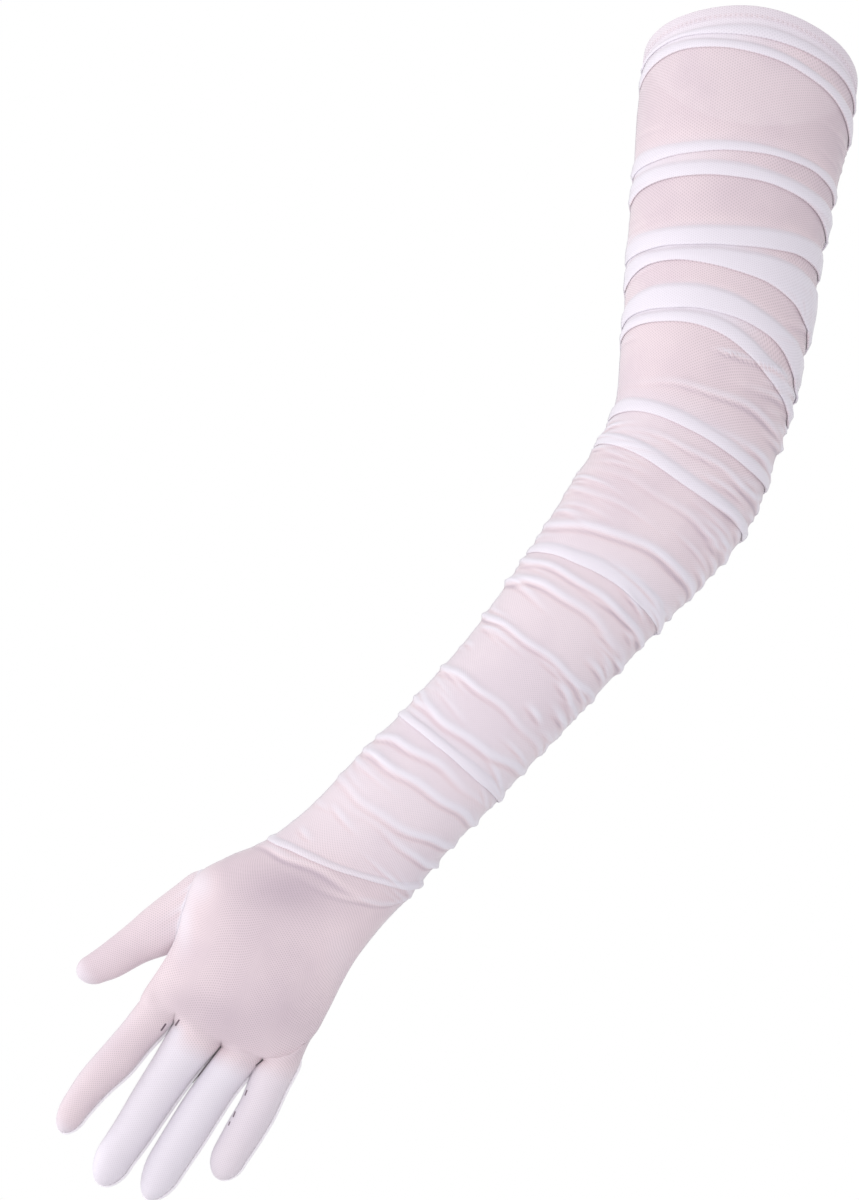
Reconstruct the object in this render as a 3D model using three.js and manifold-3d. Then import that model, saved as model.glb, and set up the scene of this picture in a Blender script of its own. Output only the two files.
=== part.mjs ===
// Sheer opera glove for the left hand, in millimetres, +Z up.
// The back of the hand faces -Y, the thumb is on the -X side, the cuff opens upwards.
// The origin is the middle of the cuff opening.
import * as THREE from 'three';
import { mergeVertices } from 'three/addons/utils/BufferGeometryUtils.js';
import Module from 'manifold-3d';

const wasm = await Module();
wasm.setup();

// Driving dimensions
const wall = 1.2;            // thickness of the net wall
const seamGap = 0.3;         // gap between pieces that are sewn together
const hemWidth = 6;          // height of the turned hem
const hemProud = 0.5;        // how far the doubled hem stands out
const foldRamp = 1.6;        // soft upper slope of a fold
const rampShare = 0.4;       // the most of a fold that its upper slope may take
const foldDrop = 0.9;        // crisp lower step of a fold
const leastStep = 0.5;       // least distance between two rows on the sleeve
const plainStep = 17;        // longest plain stretch without a row
const hemEdge = 0.8;         // height of the rounded edge of the hem
const palmEnd = 527;         // distance along the glove of the webs between the fingers
const hollowAbove = 12;      // how far the cut for the hollow starts above the opening
const columnCount = 20;      // columns round the sleeve
const innerColumns = 16;     // columns round the hollow
const innerRows = 20;        // rows along the hollow
const handRows = 5;          // plain rows below the wrist fold
const fingerSides = 10;      // sides of a finger
const fingerDepth = 0.92;    // half depth of a finger as a share of its half width
const thumbDepth = 0.8;      // the same for the thumb
const leastDepth = 0.5;      // the same inside a thin wall
const hollowPast = 4;        // how far the hollow of a finger starts before its root
const tipTurns = [35, 68];   // turns of the rings that round a fingertip, in degrees
const seamReach = 75;        // half width of the cut along the side seams
const seamDepth = 200;       // depth of that cut to the front and to the back
const seamSteps = 24;        // steps of the cut along the side seams
const handHold = 20;         // the cut runs straight on from this far before the webs
const seamBeyond = 100;      // and ends this far after them
const cutLength = 40;        // longest step of the cut between two lengths
const weld = 0.01;           // corners closer than this are one

// Sections of the arm and hand: middle point, half width, half depth,
// and how far the cross direction leans below the horizontal, in degrees
const sections = [
  { x: 4.0, y: 9.0, z: 28.5, halfWidth: 49.6, halfDepth: 45.5, lean: 7.8 },
  { x: -0.5, y: -1.0, z: -4.5, halfWidth: 49.0, halfDepth: 45.5, lean: 7.8 },
  { x: -4.5, y: -9.0, z: -30.5, halfWidth: 48.2, halfDepth: 45.0, lean: 8.0 },
  { x: -9.0, y: -17.0, z: -58.0, halfWidth: 45.6, halfDepth: 44.0, lean: 8.2 },
  { x: -13.5, y: -25.0, z: -86.0, halfWidth: 43.7, halfDepth: 43.0, lean: 7.5 },
  { x: -16.5, y: -33.0, z: -113.5, halfWidth: 42.3, halfDepth: 42.0, lean: 8.0 },
  { x: -21.5, y: -41.0, z: -141.0, halfWidth: 40.1, halfDepth: 41.0, lean: 11.0 },
  { x: -27.5, y: -48.5, z: -168.5, halfWidth: 37.9, halfDepth: 40.0, lean: 18.0 },
  { x: -38.5, y: -55.5, z: -194.0, halfWidth: 38.5, halfDepth: 39.0, lean: 29.0 },
  { x: -53.0, y: -61.0, z: -213.5, halfWidth: 37.1, halfDepth: 37.5, lean: 37.0 },
  { x: -69.0, y: -66.5, z: -233.5, halfWidth: 34.0, halfDepth: 35.0, lean: 38.5 },
  { x: -86.0, y: -71.5, z: -254.5, halfWidth: 31.6, halfDepth: 33.0, lean: 39.5 },
  { x: -103.0, y: -76.0, z: -275.5, halfWidth: 29.8, halfDepth: 31.0, lean: 41.0 },
  { x: -122.0, y: -80.0, z: -296.5, halfWidth: 28.8, halfDepth: 29.0, lean: 42.5 },
  { x: -141.0, y: -83.0, z: -317.0, halfWidth: 28.6, halfDepth: 27.0, lean: 43.5 },
  { x: -159.5, y: -85.0, z: -335.5, halfWidth: 28.7, halfDepth: 25.0, lean: 43.5 },
  { x: -179.0, y: -86.0, z: -357.0, halfWidth: 29.6, halfDepth: 22.5, lean: 41.0 },
  { x: -194.0, y: -87.0, z: -370.0, halfWidth: 32.0, halfDepth: 21.0, lean: 34.5 },
  { x: -206.0, y: -87.0, z: -378.0, halfWidth: 36.5, halfDepth: 19.5, lean: 31.5 },
  { x: -216.0, y: -86.5, z: -386.5, halfWidth: 40.0, halfDepth: 18.0, lean: 29.0 },
  { x: -221.5, y: -86.0, z: -398.5, halfWidth: 39.0, halfDepth: 17.0, lean: 26.0 },
  { x: -226.0, y: -85.5, z: -410.5, halfWidth: 37.8, halfDepth: 16.0, lean: 22.5 },
  { x: -232.0, y: -85.0, z: -422.0, halfWidth: 38.2, halfDepth: 15.0, lean: 18.5 },
  { x: -237.5, y: -84.5, z: -433.0, halfWidth: 38.6, halfDepth: 13.0, lean: 16.0 },
  { x: -239.5, y: -84.0, z: -441.0, halfWidth: 35.0, halfDepth: 8.0, lean: 19.0 },
];

// Places round the sleeve where the fold table gives a value, in degrees:
// left, front left, front, front right, right and back
const places = [0, 45, 90, 135, 180, 270];

// The slanted edge of the cuff opening, as distances along the glove
const rim = [-4.8, -12.1, -16.1, -10.3, -1.5, 6.0];

// Gathers: upper and lower edge as distances along the glove, and rise, at the places above.
// A fold is a flat band of doubled net with a crisp lower edge, a ridge is a soft wrinkle.
const folds = [
  { kind: 'fold', upper: [3.0, -3.5, -7.5, -2.0, 6.5, 14.0],
    lower: [5.0, -1.2, -1.7, 3.5, 11.3, 18.0], rise: [0.6, 0.9, 1.2, 1.2, 1.0, 0.6] },
  { kind: 'fold', upper: [6.0, 0.2, 1.9, 10.2, 16.3, 20.0],
    lower: [14.1, 5.4, 6.5, 15.5, 27.0, 28.4], rise: [1.0, 1.2, 1.2, 1.3, 1.3, 1.0] },
  { kind: 'fold', upper: [49.4, 49.5, 48.1, 48.4, 50.1, 50.5],
    lower: [57.9, 55.9, 52.6, 52.5, 56.1, 58.0], rise: [1.2, 1.0, 0.9, 1.0, 1.2, 0.9] },
  { kind: 'fold', upper: [59.6, 58.6, 57.9, 60.4, 61.6, 62.0],
    lower: [70.6, 66.4, 64.8, 67.5, 75.2, 74.0], rise: [1.4, 1.3, 1.2, 1.3, 1.4, 1.0] },
  { kind: 'fold', upper: [88.7, 89.6, 87.8, 83.4, 81.8, 84.3],
    lower: [98.6, 98.4, 97.6, 93.5, 93.9, 94.0], rise: [1.3, 1.3, 1.3, 1.3, 1.3, 1.0] },
  { kind: 'fold', upper: [99.5, 99.3, 98.6, 98.2, 101.4, 104.0],
    lower: [111.6, 105.5, 108.2, 114.5, 126.0, 120.0], rise: [1.4, 1.3, 1.2, 1.2, 1.4, 1.0] },
  { kind: 'fold', upper: [120.9, 116.5, 118.3, 127.1, 131.8, 130.0],
    lower: [130.0, 128.2, 129.4, 136.4, 149.5, 141.0], rise: [1.4, 1.3, 1.3, 1.3, 1.4, 1.0] },
  { kind: 'fold', upper: [131.0, 129.3, 131.1, 143.5, 151.5, 146.0],
    lower: [137.5, 134.8, 138.1, 152.2, 159.9, 155.0], rise: [1.4, 1.3, 1.2, 1.3, 1.4, 1.0] },
  { kind: 'ridge', upper: [163.0, 162.5, 162.7, 164.4, 167.0, 166.0],
    lower: [167.0, 166.5, 166.7, 168.4, 171.0, 170.0], rise: [0.2, 0.3, 0.8, 1.1, 1.2, 0.6] },
  { kind: 'fold', upper: [172.8, 173.5, 178.6, 182.2, 180.3, 175.4],
    lower: [182.9, 181.7, 184.9, 187.5, 186.2, 184.5], rise: [1.3, 1.2, 1.2, 1.2, 1.3, 0.9] },
  { kind: 'fold', upper: [194.6, 196.4, 201.1, 202.1, 201.0, 196.5],
    lower: [202.5, 204.0, 207.3, 206.9, 205.8, 202.8], rise: [1.3, 1.2, 1.2, 1.2, 1.3, 0.9] },
  { kind: 'ridge', upper: [217.0, 216.0, 215.0, 214.5, 214.0, 215.0],
    lower: [221.0, 220.0, 219.0, 218.5, 218.0, 219.0], rise: [0.2, 0.2, 0.4, 1.0, 1.3, 0.6] },
  { kind: 'ridge', upper: [250.0, 246.0, 237.5, 233.5, 234.0, 243.0],
    lower: [255.0, 251.0, 243.0, 239.0, 239.5, 248.0], rise: [0.8, 0.9, 1.0, 1.0, 1.1, 0.6] },
  { kind: 'fold', upper: [262.0, 258.5, 253.1, 250.9, 252.9, 257.0],
    lower: [267.0, 264.5, 260.2, 258.8, 258.3, 262.0], rise: [1.0, 1.1, 1.2, 1.2, 1.2, 0.8] },
  { kind: 'ridge', upper: [270.0, 268.2, 265.7, 265.0, 265.5, 268.0],
    lower: [274.3, 272.5, 270.0, 269.2, 269.9, 272.5], rise: [1.1, 1.1, 1.0, 0.6, 0.5, 0.6] },
  { kind: 'ridge', upper: [281.0, 277.0, 275.0, 276.0, 278.5, 280.0],
    lower: [287.4, 281.8, 279.2, 280.2, 282.6, 285.0], rise: [1.2, 1.1, 0.8, 0.4, 0.7, 0.6] },
  { kind: 'ridge', upper: [300.5, 301.4, 300.7, 299.5, 298.0, 299.0],
    lower: [304.5, 305.4, 304.7, 303.5, 302.0, 303.0], rise: [1.0, 1.0, 0.9, 1.0, 1.1, 0.6] },
  { kind: 'ridge', upper: [331.5, 331.0, 330.0, 329.8, 330.0, 331.0],
    lower: [335.5, 335.0, 334.0, 333.8, 334.0, 335.0], rise: [1.0, 0.9, 0.6, 0.4, 0.8, 0.6] },
  { kind: 'ridge', upper: [349.5, 351.0, 349.5, 344.5, 341.0, 345.0],
    lower: [354.0, 355.5, 354.0, 349.5, 346.0, 349.5], rise: [0.7, 0.8, 0.9, 0.9, 1.0, 0.6] },
  { kind: 'fold', upper: [358.5, 358.8, 357.8, 355.6, 354.3, 356.0],
    lower: [362.8, 363.1, 362.4, 361.0, 360.0, 361.0], rise: [1.1, 1.2, 1.2, 1.2, 1.2, 0.8] },
  { kind: 'ridge', upper: [381.5, 381.5, 378.0, 374.0, 372.5, 377.0],
    lower: [386.5, 386.0, 382.5, 378.5, 377.5, 382.0], rise: [0.9, 0.9, 0.8, 0.9, 1.0, 0.6] },
  { kind: 'ridge', upper: [398.0, 399.5, 398.0, 391.0, 386.5, 392.0],
    lower: [402.0, 403.5, 402.5, 396.0, 391.5, 396.5], rise: [0.6, 0.3, 0.5, 0.9, 1.0, 0.6] },
  { kind: 'fold', upper: [434.5, 433.5, 428.5, 417.5, 409.0, 419.0],
    lower: [437.9, 436.7, 431.7, 421.1, 413.2, 422.9], rise: [0.9, 1.0, 1.1, 1.3, 1.3, 0.8] },
];

// Fingers: middle line and half width from the root to the last joint, then the tip.
// fromY and toY are the depth of the root and of the tip.
const fingers = [
  { name: 'index', fromY: -84, toY: -80, tip: { x: -312.1, z: -481.3 }, stations: [
    { x: -266.0, z: -423.5, half: 8.3 },
    { x: -278.2, z: -438.9, half: 8.2 },
    { x: -287.3, z: -449.6, half: 8.3 },
    { x: -297.6, z: -460.3, half: 7.4 },
    { x: -305.8, z: -471.0, half: 6.3 },
  ] },
  { name: 'middle', fromY: -84, toY: -80, tip: { x: -294.7, z: -504.9 }, stations: [
    { x: -248.0, z: -433.5, half: 9.0 },
    { x: -261.5, z: -451.9, half: 9.7 },
    { x: -273.1, z: -467.2, half: 8.9 },
    { x: -280.2, z: -481.7, half: 8.6 },
    { x: -287.8, z: -492.4, half: 8.0 },
  ] },
  { name: 'ring', fromY: -84, toY: -80, tip: { x: -273.7, z: -511.4 }, stations: [
    { x: -230.0, z: -442.0, half: 8.6 },
    { x: -240.0, z: -457.5, half: 8.7 },
    { x: -249.2, z: -471.0, half: 8.8 },
    { x: -255.9, z: -481.7, half: 8.8 },
    { x: -264.8, z: -495.6, half: 8.2 },
  ] },
  { name: 'little', fromY: -84, toY: -80, tip: { x: -241.6, z: -502.7 }, stations: [
    { x: -210.0, z: -440.0, half: 8.4 },
    { x: -218.3, z: -457.5, half: 8.5 },
    { x: -224.2, z: -471.0, half: 8.2 },
    { x: -230.5, z: -481.7, half: 8.0 },
    { x: -236.9, z: -492.4, half: 7.3 },
  ] },
];
const thumb = { name: 'thumb', fromY: -78, toY: -70, tip: { x: -304.5, z: -413.1 }, stations: [
  { x: -243.7, z: -378.2, half: 15.2 },
  { x: -254.4, z: -384.1, half: 13.4 },
  { x: -267.8, z: -392.1, half: 11.4 },
  { x: -278.6, z: -398.4, half: 9.2 },
  { x: -290.7, z: -406.4, half: 7.9 },
  { x: -296.9, z: -409.6, half: 6.9 },
] };

// Lengths of the sleeve and hand, each cut from the panels, in order from the cuff
const lengths = [
  { name: 'upper_arm', from: -60, to: 79 },
  { name: 'elbow', from: 79, to: 211 },
  { name: 'forearm', from: 211, to: 317 },
  { name: 'wrist', from: 317, to: 445 },
  { name: 'hand', from: 445, to: 560 },
];

// Distance along the glove of each section, zero at the second one
const distances = [0];
for (let i = 1; i < sections.length; i++) {
  const a = sections[i - 1];
  const b = sections[i];
  distances.push(distances[i - 1] + Math.hypot(b.x - a.x, b.y - a.y, b.z - a.z));
}
const firstGap = distances[1];
for (let i = 0; i < distances.length; i++) distances[i] -= firstGap;

// Smooth value at a knot-spaced position, with slopes from the neighbours
function hermite(knots, values, at) {
  const last = knots.length - 1;
  let i = 0;
  while (i < last - 1 && at > knots[i + 1]) i++;
  const slope = (k) => {
    const before = Math.max(k - 1, 0);
    const after = Math.min(k + 1, last);
    return (values[after] - values[before]) / (knots[after] - knots[before]);
  };
  const span = knots[i + 1] - knots[i];
  const t = (at - knots[i]) / span;
  if (t < 0) return values[0] + slope(0) * (at - knots[0]);
  if (t > 1) return values[last] + slope(last) * (at - knots[last]);
  const t2 = t * t;
  const t3 = t2 * t;
  return (2 * t3 - 3 * t2 + 1) * values[i] + (t3 - 2 * t2 + t) * span * slope(i)
    + (3 * t2 - 2 * t3) * values[i + 1] + (t3 - t2) * span * slope(i + 1);
}

const sectionKeys = ['x', 'y', 'z', 'halfWidth', 'halfDepth', 'lean'];
const sectionColumns = Object.fromEntries(sectionKeys.map((key) => [key, sections.map((row) => row[key])]));

function sectionAt(distance) {
  const at = (key) => hermite(distances, sectionColumns[key], distance);
  return Object.fromEntries(sectionKeys.map((key) => [key, at(key)]));
}

// Middle point, cross direction (to the right) and depth direction (to the front) at a distance
function frameAt(distance) {
  const row = sectionAt(distance);
  const before = sectionAt(distance - 1);
  const after = sectionAt(distance + 1);
  const along = new THREE.Vector3(after.x - before.x, after.y - before.y, after.z - before.z).normalize();
  const lean = THREE.MathUtils.degToRad(row.lean);
  const across = new THREE.Vector3(Math.cos(lean), 0, -Math.sin(lean));
  const front = new THREE.Vector3().crossVectors(along, across).normalize();
  if (front.y > 0) front.negate();
  return { row, middle: new THREE.Vector3(row.x, row.y, row.z), across, front };
}

// Point on the sleeve or hand: angle 0 is the left side, 90 the front, in degrees
function surfacePoint(distance, degrees, outward) {
  const { row, middle, across, front } = frameAt(distance);
  const angle = THREE.MathUtils.degToRad(degrees);
  return middle.clone()
    .addScaledVector(across, -Math.cos(angle) * (row.halfWidth + outward))
    .addScaledVector(front, Math.sin(angle) * (row.halfDepth + outward));
}

// Value of a table row at an angle, smooth all the way round
function roundValue(values, degrees) {
  const knots = [places[4] - 360, places[5] - 360, ...places, places[0] + 360, places[1] + 360];
  const wrapped = [values[4], values[5], ...values, values[0], values[1]];
  return hermite(knots, wrapped, degrees % 360);
}

// Closed solid from rings of points, each ring with the same count, ends closed by fans
function loft(rings) {
  const positions = [];
  const triangles = [];
  const count = rings[0].length;
  for (const ring of rings) for (const p of ring) positions.push(p.x, p.y, p.z);
  for (let i = 0; i + 1 < rings.length; i++) {
    for (let j = 0; j < count; j++) {
      const a = i * count + j;
      const b = i * count + (j + 1) % count;
      triangles.push([a, b, b + count], [a, b + count, a + count]);
    }
  }
  for (const end of [0, rings.length - 1]) {
    const centre = new THREE.Vector3();
    for (const p of rings[end]) centre.addScaledVector(p, 1 / count);
    const tip = positions.length / 3;
    positions.push(centre.x, centre.y, centre.z);
    for (let j = 0; j < count; j++) {
      const a = end * count + j;
      const b = end * count + (j + 1) % count;
      triangles.push(end === 0 ? [b, a, tip] : [a, b, tip]);
    }
  }
  const geometry = new THREE.BufferGeometry();
  geometry.setAttribute('position', new THREE.Float32BufferAttribute(positions, 3));
  geometry.setIndex(triangles.flat());
  return geometry;
}

// Solid for joining and cutting, turned so that its faces point out
function toSolid(geometry) {
  const merged = mergeVertices(geometry, weld / 10);
  const points = merged.attributes.position.array;
  const index = Uint32Array.from(merged.index.array);
  let volume = 0;
  const corner = (k) => new THREE.Vector3().fromArray(points, index[k] * 3);
  for (let k = 0; k < index.length; k += 3) {
    volume += corner(k).dot(corner(k + 1).cross(corner(k + 2)));
  }
  if (volume < 0) {
    for (let k = 0; k < index.length; k += 3) [index[k], index[k + 1]] = [index[k + 1], index[k]];
  }
  const mesh = new wasm.Mesh({ numProp: 3, vertProperties: Float32Array.from(points), triVerts: index });
  return new wasm.Manifold(mesh);
}

// Mesh of a cut solid: corners closer than the weld are merged, and the slivers left between
// them are dropped
function toGeometry(solid) {
  const mesh = solid.getMesh();
  const cut = new THREE.BufferGeometry();
  cut.setAttribute('position', new THREE.Float32BufferAttribute(Array.from(mesh.vertProperties), 3));
  cut.setIndex(Array.from(mesh.triVerts));
  const geometry = mergeVertices(cut, weld);
  const kept = [];
  const index = geometry.index.array;
  for (let k = 0; k < index.length; k += 3) {
    const [a, b, c] = index.slice(k, k + 3);
    if (a !== b && b !== c && c !== a) kept.push(a, b, c);
  }
  geometry.setIndex(kept);
  geometry.computeVertexNormals();
  return geometry;
}

// Ring round the glove, following a distance and an outward offset that change with the angle
function ringOf(distanceAt, outwardAt, count) {
  const ring = [];
  for (let j = 0; j < count; j++) {
    const degrees = 360 * j / count;
    ring.push(surfacePoint(distanceAt(degrees), degrees, outwardAt(degrees)));
  }
  return ring;
}

// Rows of the outer surface: distance and rise as functions of the angle
function outerRows() {
  const rows = [];
  const plain = (values) => rows.push({ at: (a) => roundValue(values, a), rise: () => 0 });
  plain(rim.map((value) => value + hemWidth + seamGap));
  let previous = rim.map((value) => value + hemWidth);
  for (const fold of folds) {
    const middleGap = fold.upper.reduce((sum, value, k) => sum + value - previous[k], 0) / places.length;
    const pieces = Math.ceil(middleGap / plainStep);
    for (let k = 1; k < pieces; k++) {
      const from = previous;
      plain(fold.upper.map((value, m) => from[m] + (value - from[m]) * k / pieces));
    }
    const rise = (a) => roundValue(fold.rise, a);
    const wide = (a) => roundValue(fold.lower, a) - roundValue(fold.upper, a);
    const ramp = (a) => Math.min(foldRamp, rampShare * wide(a));
    rows.push({ at: (a) => roundValue(fold.upper, a), rise: () => 0 });
    if (fold.kind === 'ridge') {
      rows.push({ at: (a) => 0.5 * (roundValue(fold.upper, a) + roundValue(fold.lower, a)), rise });
    } else {
      rows.push({ at: (a) => roundValue(fold.upper, a) + ramp(a), rise });
      rows.push({ at: (a) => roundValue(fold.lower, a), rise });
    }
    rows.push({ at: (a) => roundValue(fold.lower, a) + foldDrop, rise: () => 0 });
    previous = fold.lower.map((value) => value + foldDrop);
  }
  for (let k = 1; k <= handRows; k++) {
    const from = previous;
    plain(from.map((value) => value + (palmEnd - value) * k / handRows));
  }
  return rows;
}

// Outside of the sleeve and hand with its gathers, grown by extra all round
function handOuter(extra) {
  const reached = new Array(columnCount).fill(-Infinity);
  const rings = outerRows().map((row) => {
    const ring = [];
    for (let j = 0; j < columnCount; j++) {
      const degrees = 360 * j / columnCount;
      reached[j] = Math.max(row.at(degrees), reached[j] + leastStep);
      ring.push(surfacePoint(reached[j], degrees, row.rise(degrees) + extra));
    }
    return ring;
  });
  return toSolid(loft(rings));
}

function handInner() {
  const rings = [];
  const start = rim.map((value) => value - hollowAbove);
  const end = palmEnd - wall;
  for (let k = 0; k <= innerRows; k++) {
    const share = k / innerRows;
    const at = (a) => roundValue(start, a) * (1 - share) + end * share;
    rings.push(ringOf(at, () => -wall, innerColumns));
  }
  return toSolid(loft(rings));
}

// Finger or thumb with a round tip; inset makes it smaller all round, for its hollow
function fingerSolid(finger, flatness, inset) {
  const count = finger.stations.length;
  const depthAt = (share) => finger.fromY + (finger.toY - finger.fromY) * share;
  const points = finger.stations.map(({ x, z }, k) => new THREE.Vector3(x, depthAt(k / count), z));
  points.push(new THREE.Vector3(finger.tip.x, finger.toY, finger.tip.z));
  if (inset > 0) {
    const rootAlong = points[1].clone().sub(points[0]).normalize();
    points[0].addScaledVector(rootAlong, -hollowPast);
  }
  const stations = finger.stations.map(({ half }, k) => {
    const along = points[k + 1].clone().sub(points[Math.max(k - 1, 0)]).normalize();
    return { middle: points[k], along, half: half - inset };
  });
  const last = stations[count - 1];
  const tipAlong = points[count].clone().sub(last.middle);
  const tipReach = tipAlong.length() - inset;
  tipAlong.normalize();
  for (const turn of tipTurns) {
    const angle = THREE.MathUtils.degToRad(turn);
    const middle = last.middle.clone().addScaledVector(tipAlong, tipReach * Math.sin(angle));
    stations.push({ middle, along: tipAlong, half: last.half * Math.cos(angle) });
  }
  const rings = stations.map(({ middle, along, half }) => {
    const across = new THREE.Vector3(-along.z, 0, along.x).normalize();
    const front = new THREE.Vector3().crossVectors(along, across).normalize();
    const deep = Math.max((half + inset) * flatness - inset, half * leastDepth);
    const ring = [];
    for (let j = 0; j < fingerSides; j++) {
      const angle = 2 * Math.PI * (j + 0.5) / fingerSides;
      ring.push(middle.clone()
        .addScaledVector(across, half * Math.cos(angle))
        .addScaledVector(front, deep * Math.sin(angle)));
    }
    return ring;
  });
  return toSolid(loft(rings));
}

// Middle of the hand carried straight on beyond the webs
const handHeld = frameAt(palmEnd - handHold);
const handAxis = frameAt(palmEnd - handHold + 1).middle.sub(handHeld.middle).normalize();

function middleAt(distance) {
  const held = palmEnd - handHold;
  if (distance < held) return frameAt(distance);
  const middle = handHeld.middle.clone().addScaledVector(handAxis, distance - held);
  return { middle, across: handHeld.across, front: handHeld.front };
}

// Half space in front of (side -1) or behind (side 1) the side seams
function seamHalf(side) {
  const rings = [];
  const from = distances[0] - handHold;
  const to = palmEnd + seamBeyond;
  for (let k = 0; k <= seamSteps; k++) {
    const { middle, across } = middleAt(from + (to - from) * k / seamSteps);
    const near = middle.y + side * seamGap / 2;
    const far = side * seamDepth;
    const left = middle.clone().addScaledVector(across, -seamReach);
    const right = middle.clone().addScaledVector(across, seamReach);
    rings.push([
      new THREE.Vector3(left.x, near, left.z),
      new THREE.Vector3(right.x, near, right.z),
      new THREE.Vector3(right.x, far, right.z),
      new THREE.Vector3(left.x, far, left.z),
    ]);
  }
  return toSolid(loft(rings));
}

// Block round one length of the sleeve or hand, half a seam gap short at both ends
function lengthBlock({ from, to }) {
  const first = from + seamGap / 2;
  const last = to - seamGap / 2;
  const steps = Math.ceil((last - first) / cutLength);
  const rings = [];
  for (let k = 0; k <= steps; k++) {
    const { middle, across, front } = middleAt(first + (last - first) * k / steps);
    const corner = (side, depth) => middle.clone()
      .addScaledVector(across, side * seamReach)
      .addScaledVector(front, depth * seamReach);
    rings.push([corner(-1, -1), corner(1, -1), corner(1, 1), corner(-1, 1)]);
  }
  return toSolid(loft(rings));
}

// Turned hem: a doubled band round the slanted opening
function hemBand() {
  const at = (extra) => (a) => roundValue(rim, a) + extra;
  const rings = [
    ringOf(at(0), () => 0, columnCount),
    ringOf(at(hemEdge), () => hemProud, columnCount),
    ringOf(at(hemWidth), () => hemProud, columnCount),
    ringOf(at(hemWidth), () => -wall, columnCount),
    ringOf(at(0), () => -wall, columnCount),
  ];
  const count = columnCount;
  const positions = rings.flat().flatMap((p) => [p.x, p.y, p.z]);
  const triangles = [];
  for (let i = 0; i < rings.length; i++) {
    const next = (i + 1) % rings.length;
    for (let j = 0; j < count; j++) {
      const side = (j + 1) % count;
      triangles.push(i * count + j, i * count + side, next * count + side);
      triangles.push(i * count + j, next * count + side, next * count + j);
    }
  }
  const geometry = new THREE.BufferGeometry();
  geometry.setAttribute('position', new THREE.Float32BufferAttribute(positions, 3));
  geometry.setIndex(triangles);
  return toSolid(geometry);
}

// The one real body of a cut, without the specks where two surfaces only graze
function largestBody(solid) {
  const bodies = solid.decompose();
  return bodies.reduce((best, body) => (body.volume() > best.volume() ? body : best));
}

// Back and palm halves of every length and finger, and the thumb in one piece
function glovePieces() {
  const pieces = [];
  const halves = { back: seamHalf(-1), palm: seamHalf(1) };
  const sides = Object.keys(halves);
  const addHalves = (name, solid) => {
    for (const side of sides) {
      pieces.push({ name: `${name}_${side}`, solid: largestBody(solid.intersect(halves[side])) });
    }
  };
  const outer = handOuter(0);
  const grown = handOuter(seamGap);
  let tube = outer.subtract(handInner());
  for (const finger of fingers) tube = tube.subtract(fingerSolid(finger, fingerDepth, wall));
  const thumbInner = fingerSolid(thumb, thumbDepth, wall);
  tube = tube.subtract(thumbInner);
  for (const length of lengths) addHalves(length.name, tube.intersect(lengthBlock(length)));
  for (const finger of fingers) {
    const shell = fingerSolid(finger, fingerDepth, 0).subtract(fingerSolid(finger, fingerDepth, wall));
    addHalves(finger.name, shell.subtract(grown));
  }
  const thumbShell = fingerSolid(thumb, thumbDepth, 0).subtract(thumbInner).subtract(grown);
  pieces.push({ name: 'thumb_stall', solid: largestBody(thumbShell) });
  pieces.push({ name: 'hem_band', solid: hemBand() });
  return pieces;
}

// Net seen over more net, or over the shade inside, is a little darker on the palm side
const finishes = { back: 0xefe6ee, palm: 0xe6dbe5, stall: 0xebe1ea, band: 0xf4eff4 };

const glove = new THREE.Group();
for (const { name, solid } of glovePieces()) {
  const colour = finishes[name.split('_').pop()];
  const material = new THREE.MeshStandardMaterial({ color: colour, roughness: 0.75, metalness: 0 });
  const mesh = new THREE.Mesh(toGeometry(solid), material);
  mesh.name = name;
  glove.add(mesh);
}

export default glove;
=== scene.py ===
import bpy
import bmesh
import math
import numpy as np
from mathutils import Matrix, Vector


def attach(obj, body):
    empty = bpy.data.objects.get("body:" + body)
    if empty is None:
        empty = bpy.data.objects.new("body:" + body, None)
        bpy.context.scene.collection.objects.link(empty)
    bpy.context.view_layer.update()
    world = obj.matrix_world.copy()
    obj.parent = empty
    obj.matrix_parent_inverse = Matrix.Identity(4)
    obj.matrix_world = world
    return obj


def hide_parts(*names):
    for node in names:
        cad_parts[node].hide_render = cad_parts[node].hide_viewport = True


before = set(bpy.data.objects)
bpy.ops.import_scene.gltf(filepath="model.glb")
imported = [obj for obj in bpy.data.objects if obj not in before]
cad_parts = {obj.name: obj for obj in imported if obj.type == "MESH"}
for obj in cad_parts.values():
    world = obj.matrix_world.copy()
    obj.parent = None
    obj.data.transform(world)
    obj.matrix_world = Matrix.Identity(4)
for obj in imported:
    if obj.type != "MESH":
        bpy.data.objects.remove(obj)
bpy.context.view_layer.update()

mm = 0.001
print("frame loaded:", len(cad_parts), "nodes")


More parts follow.
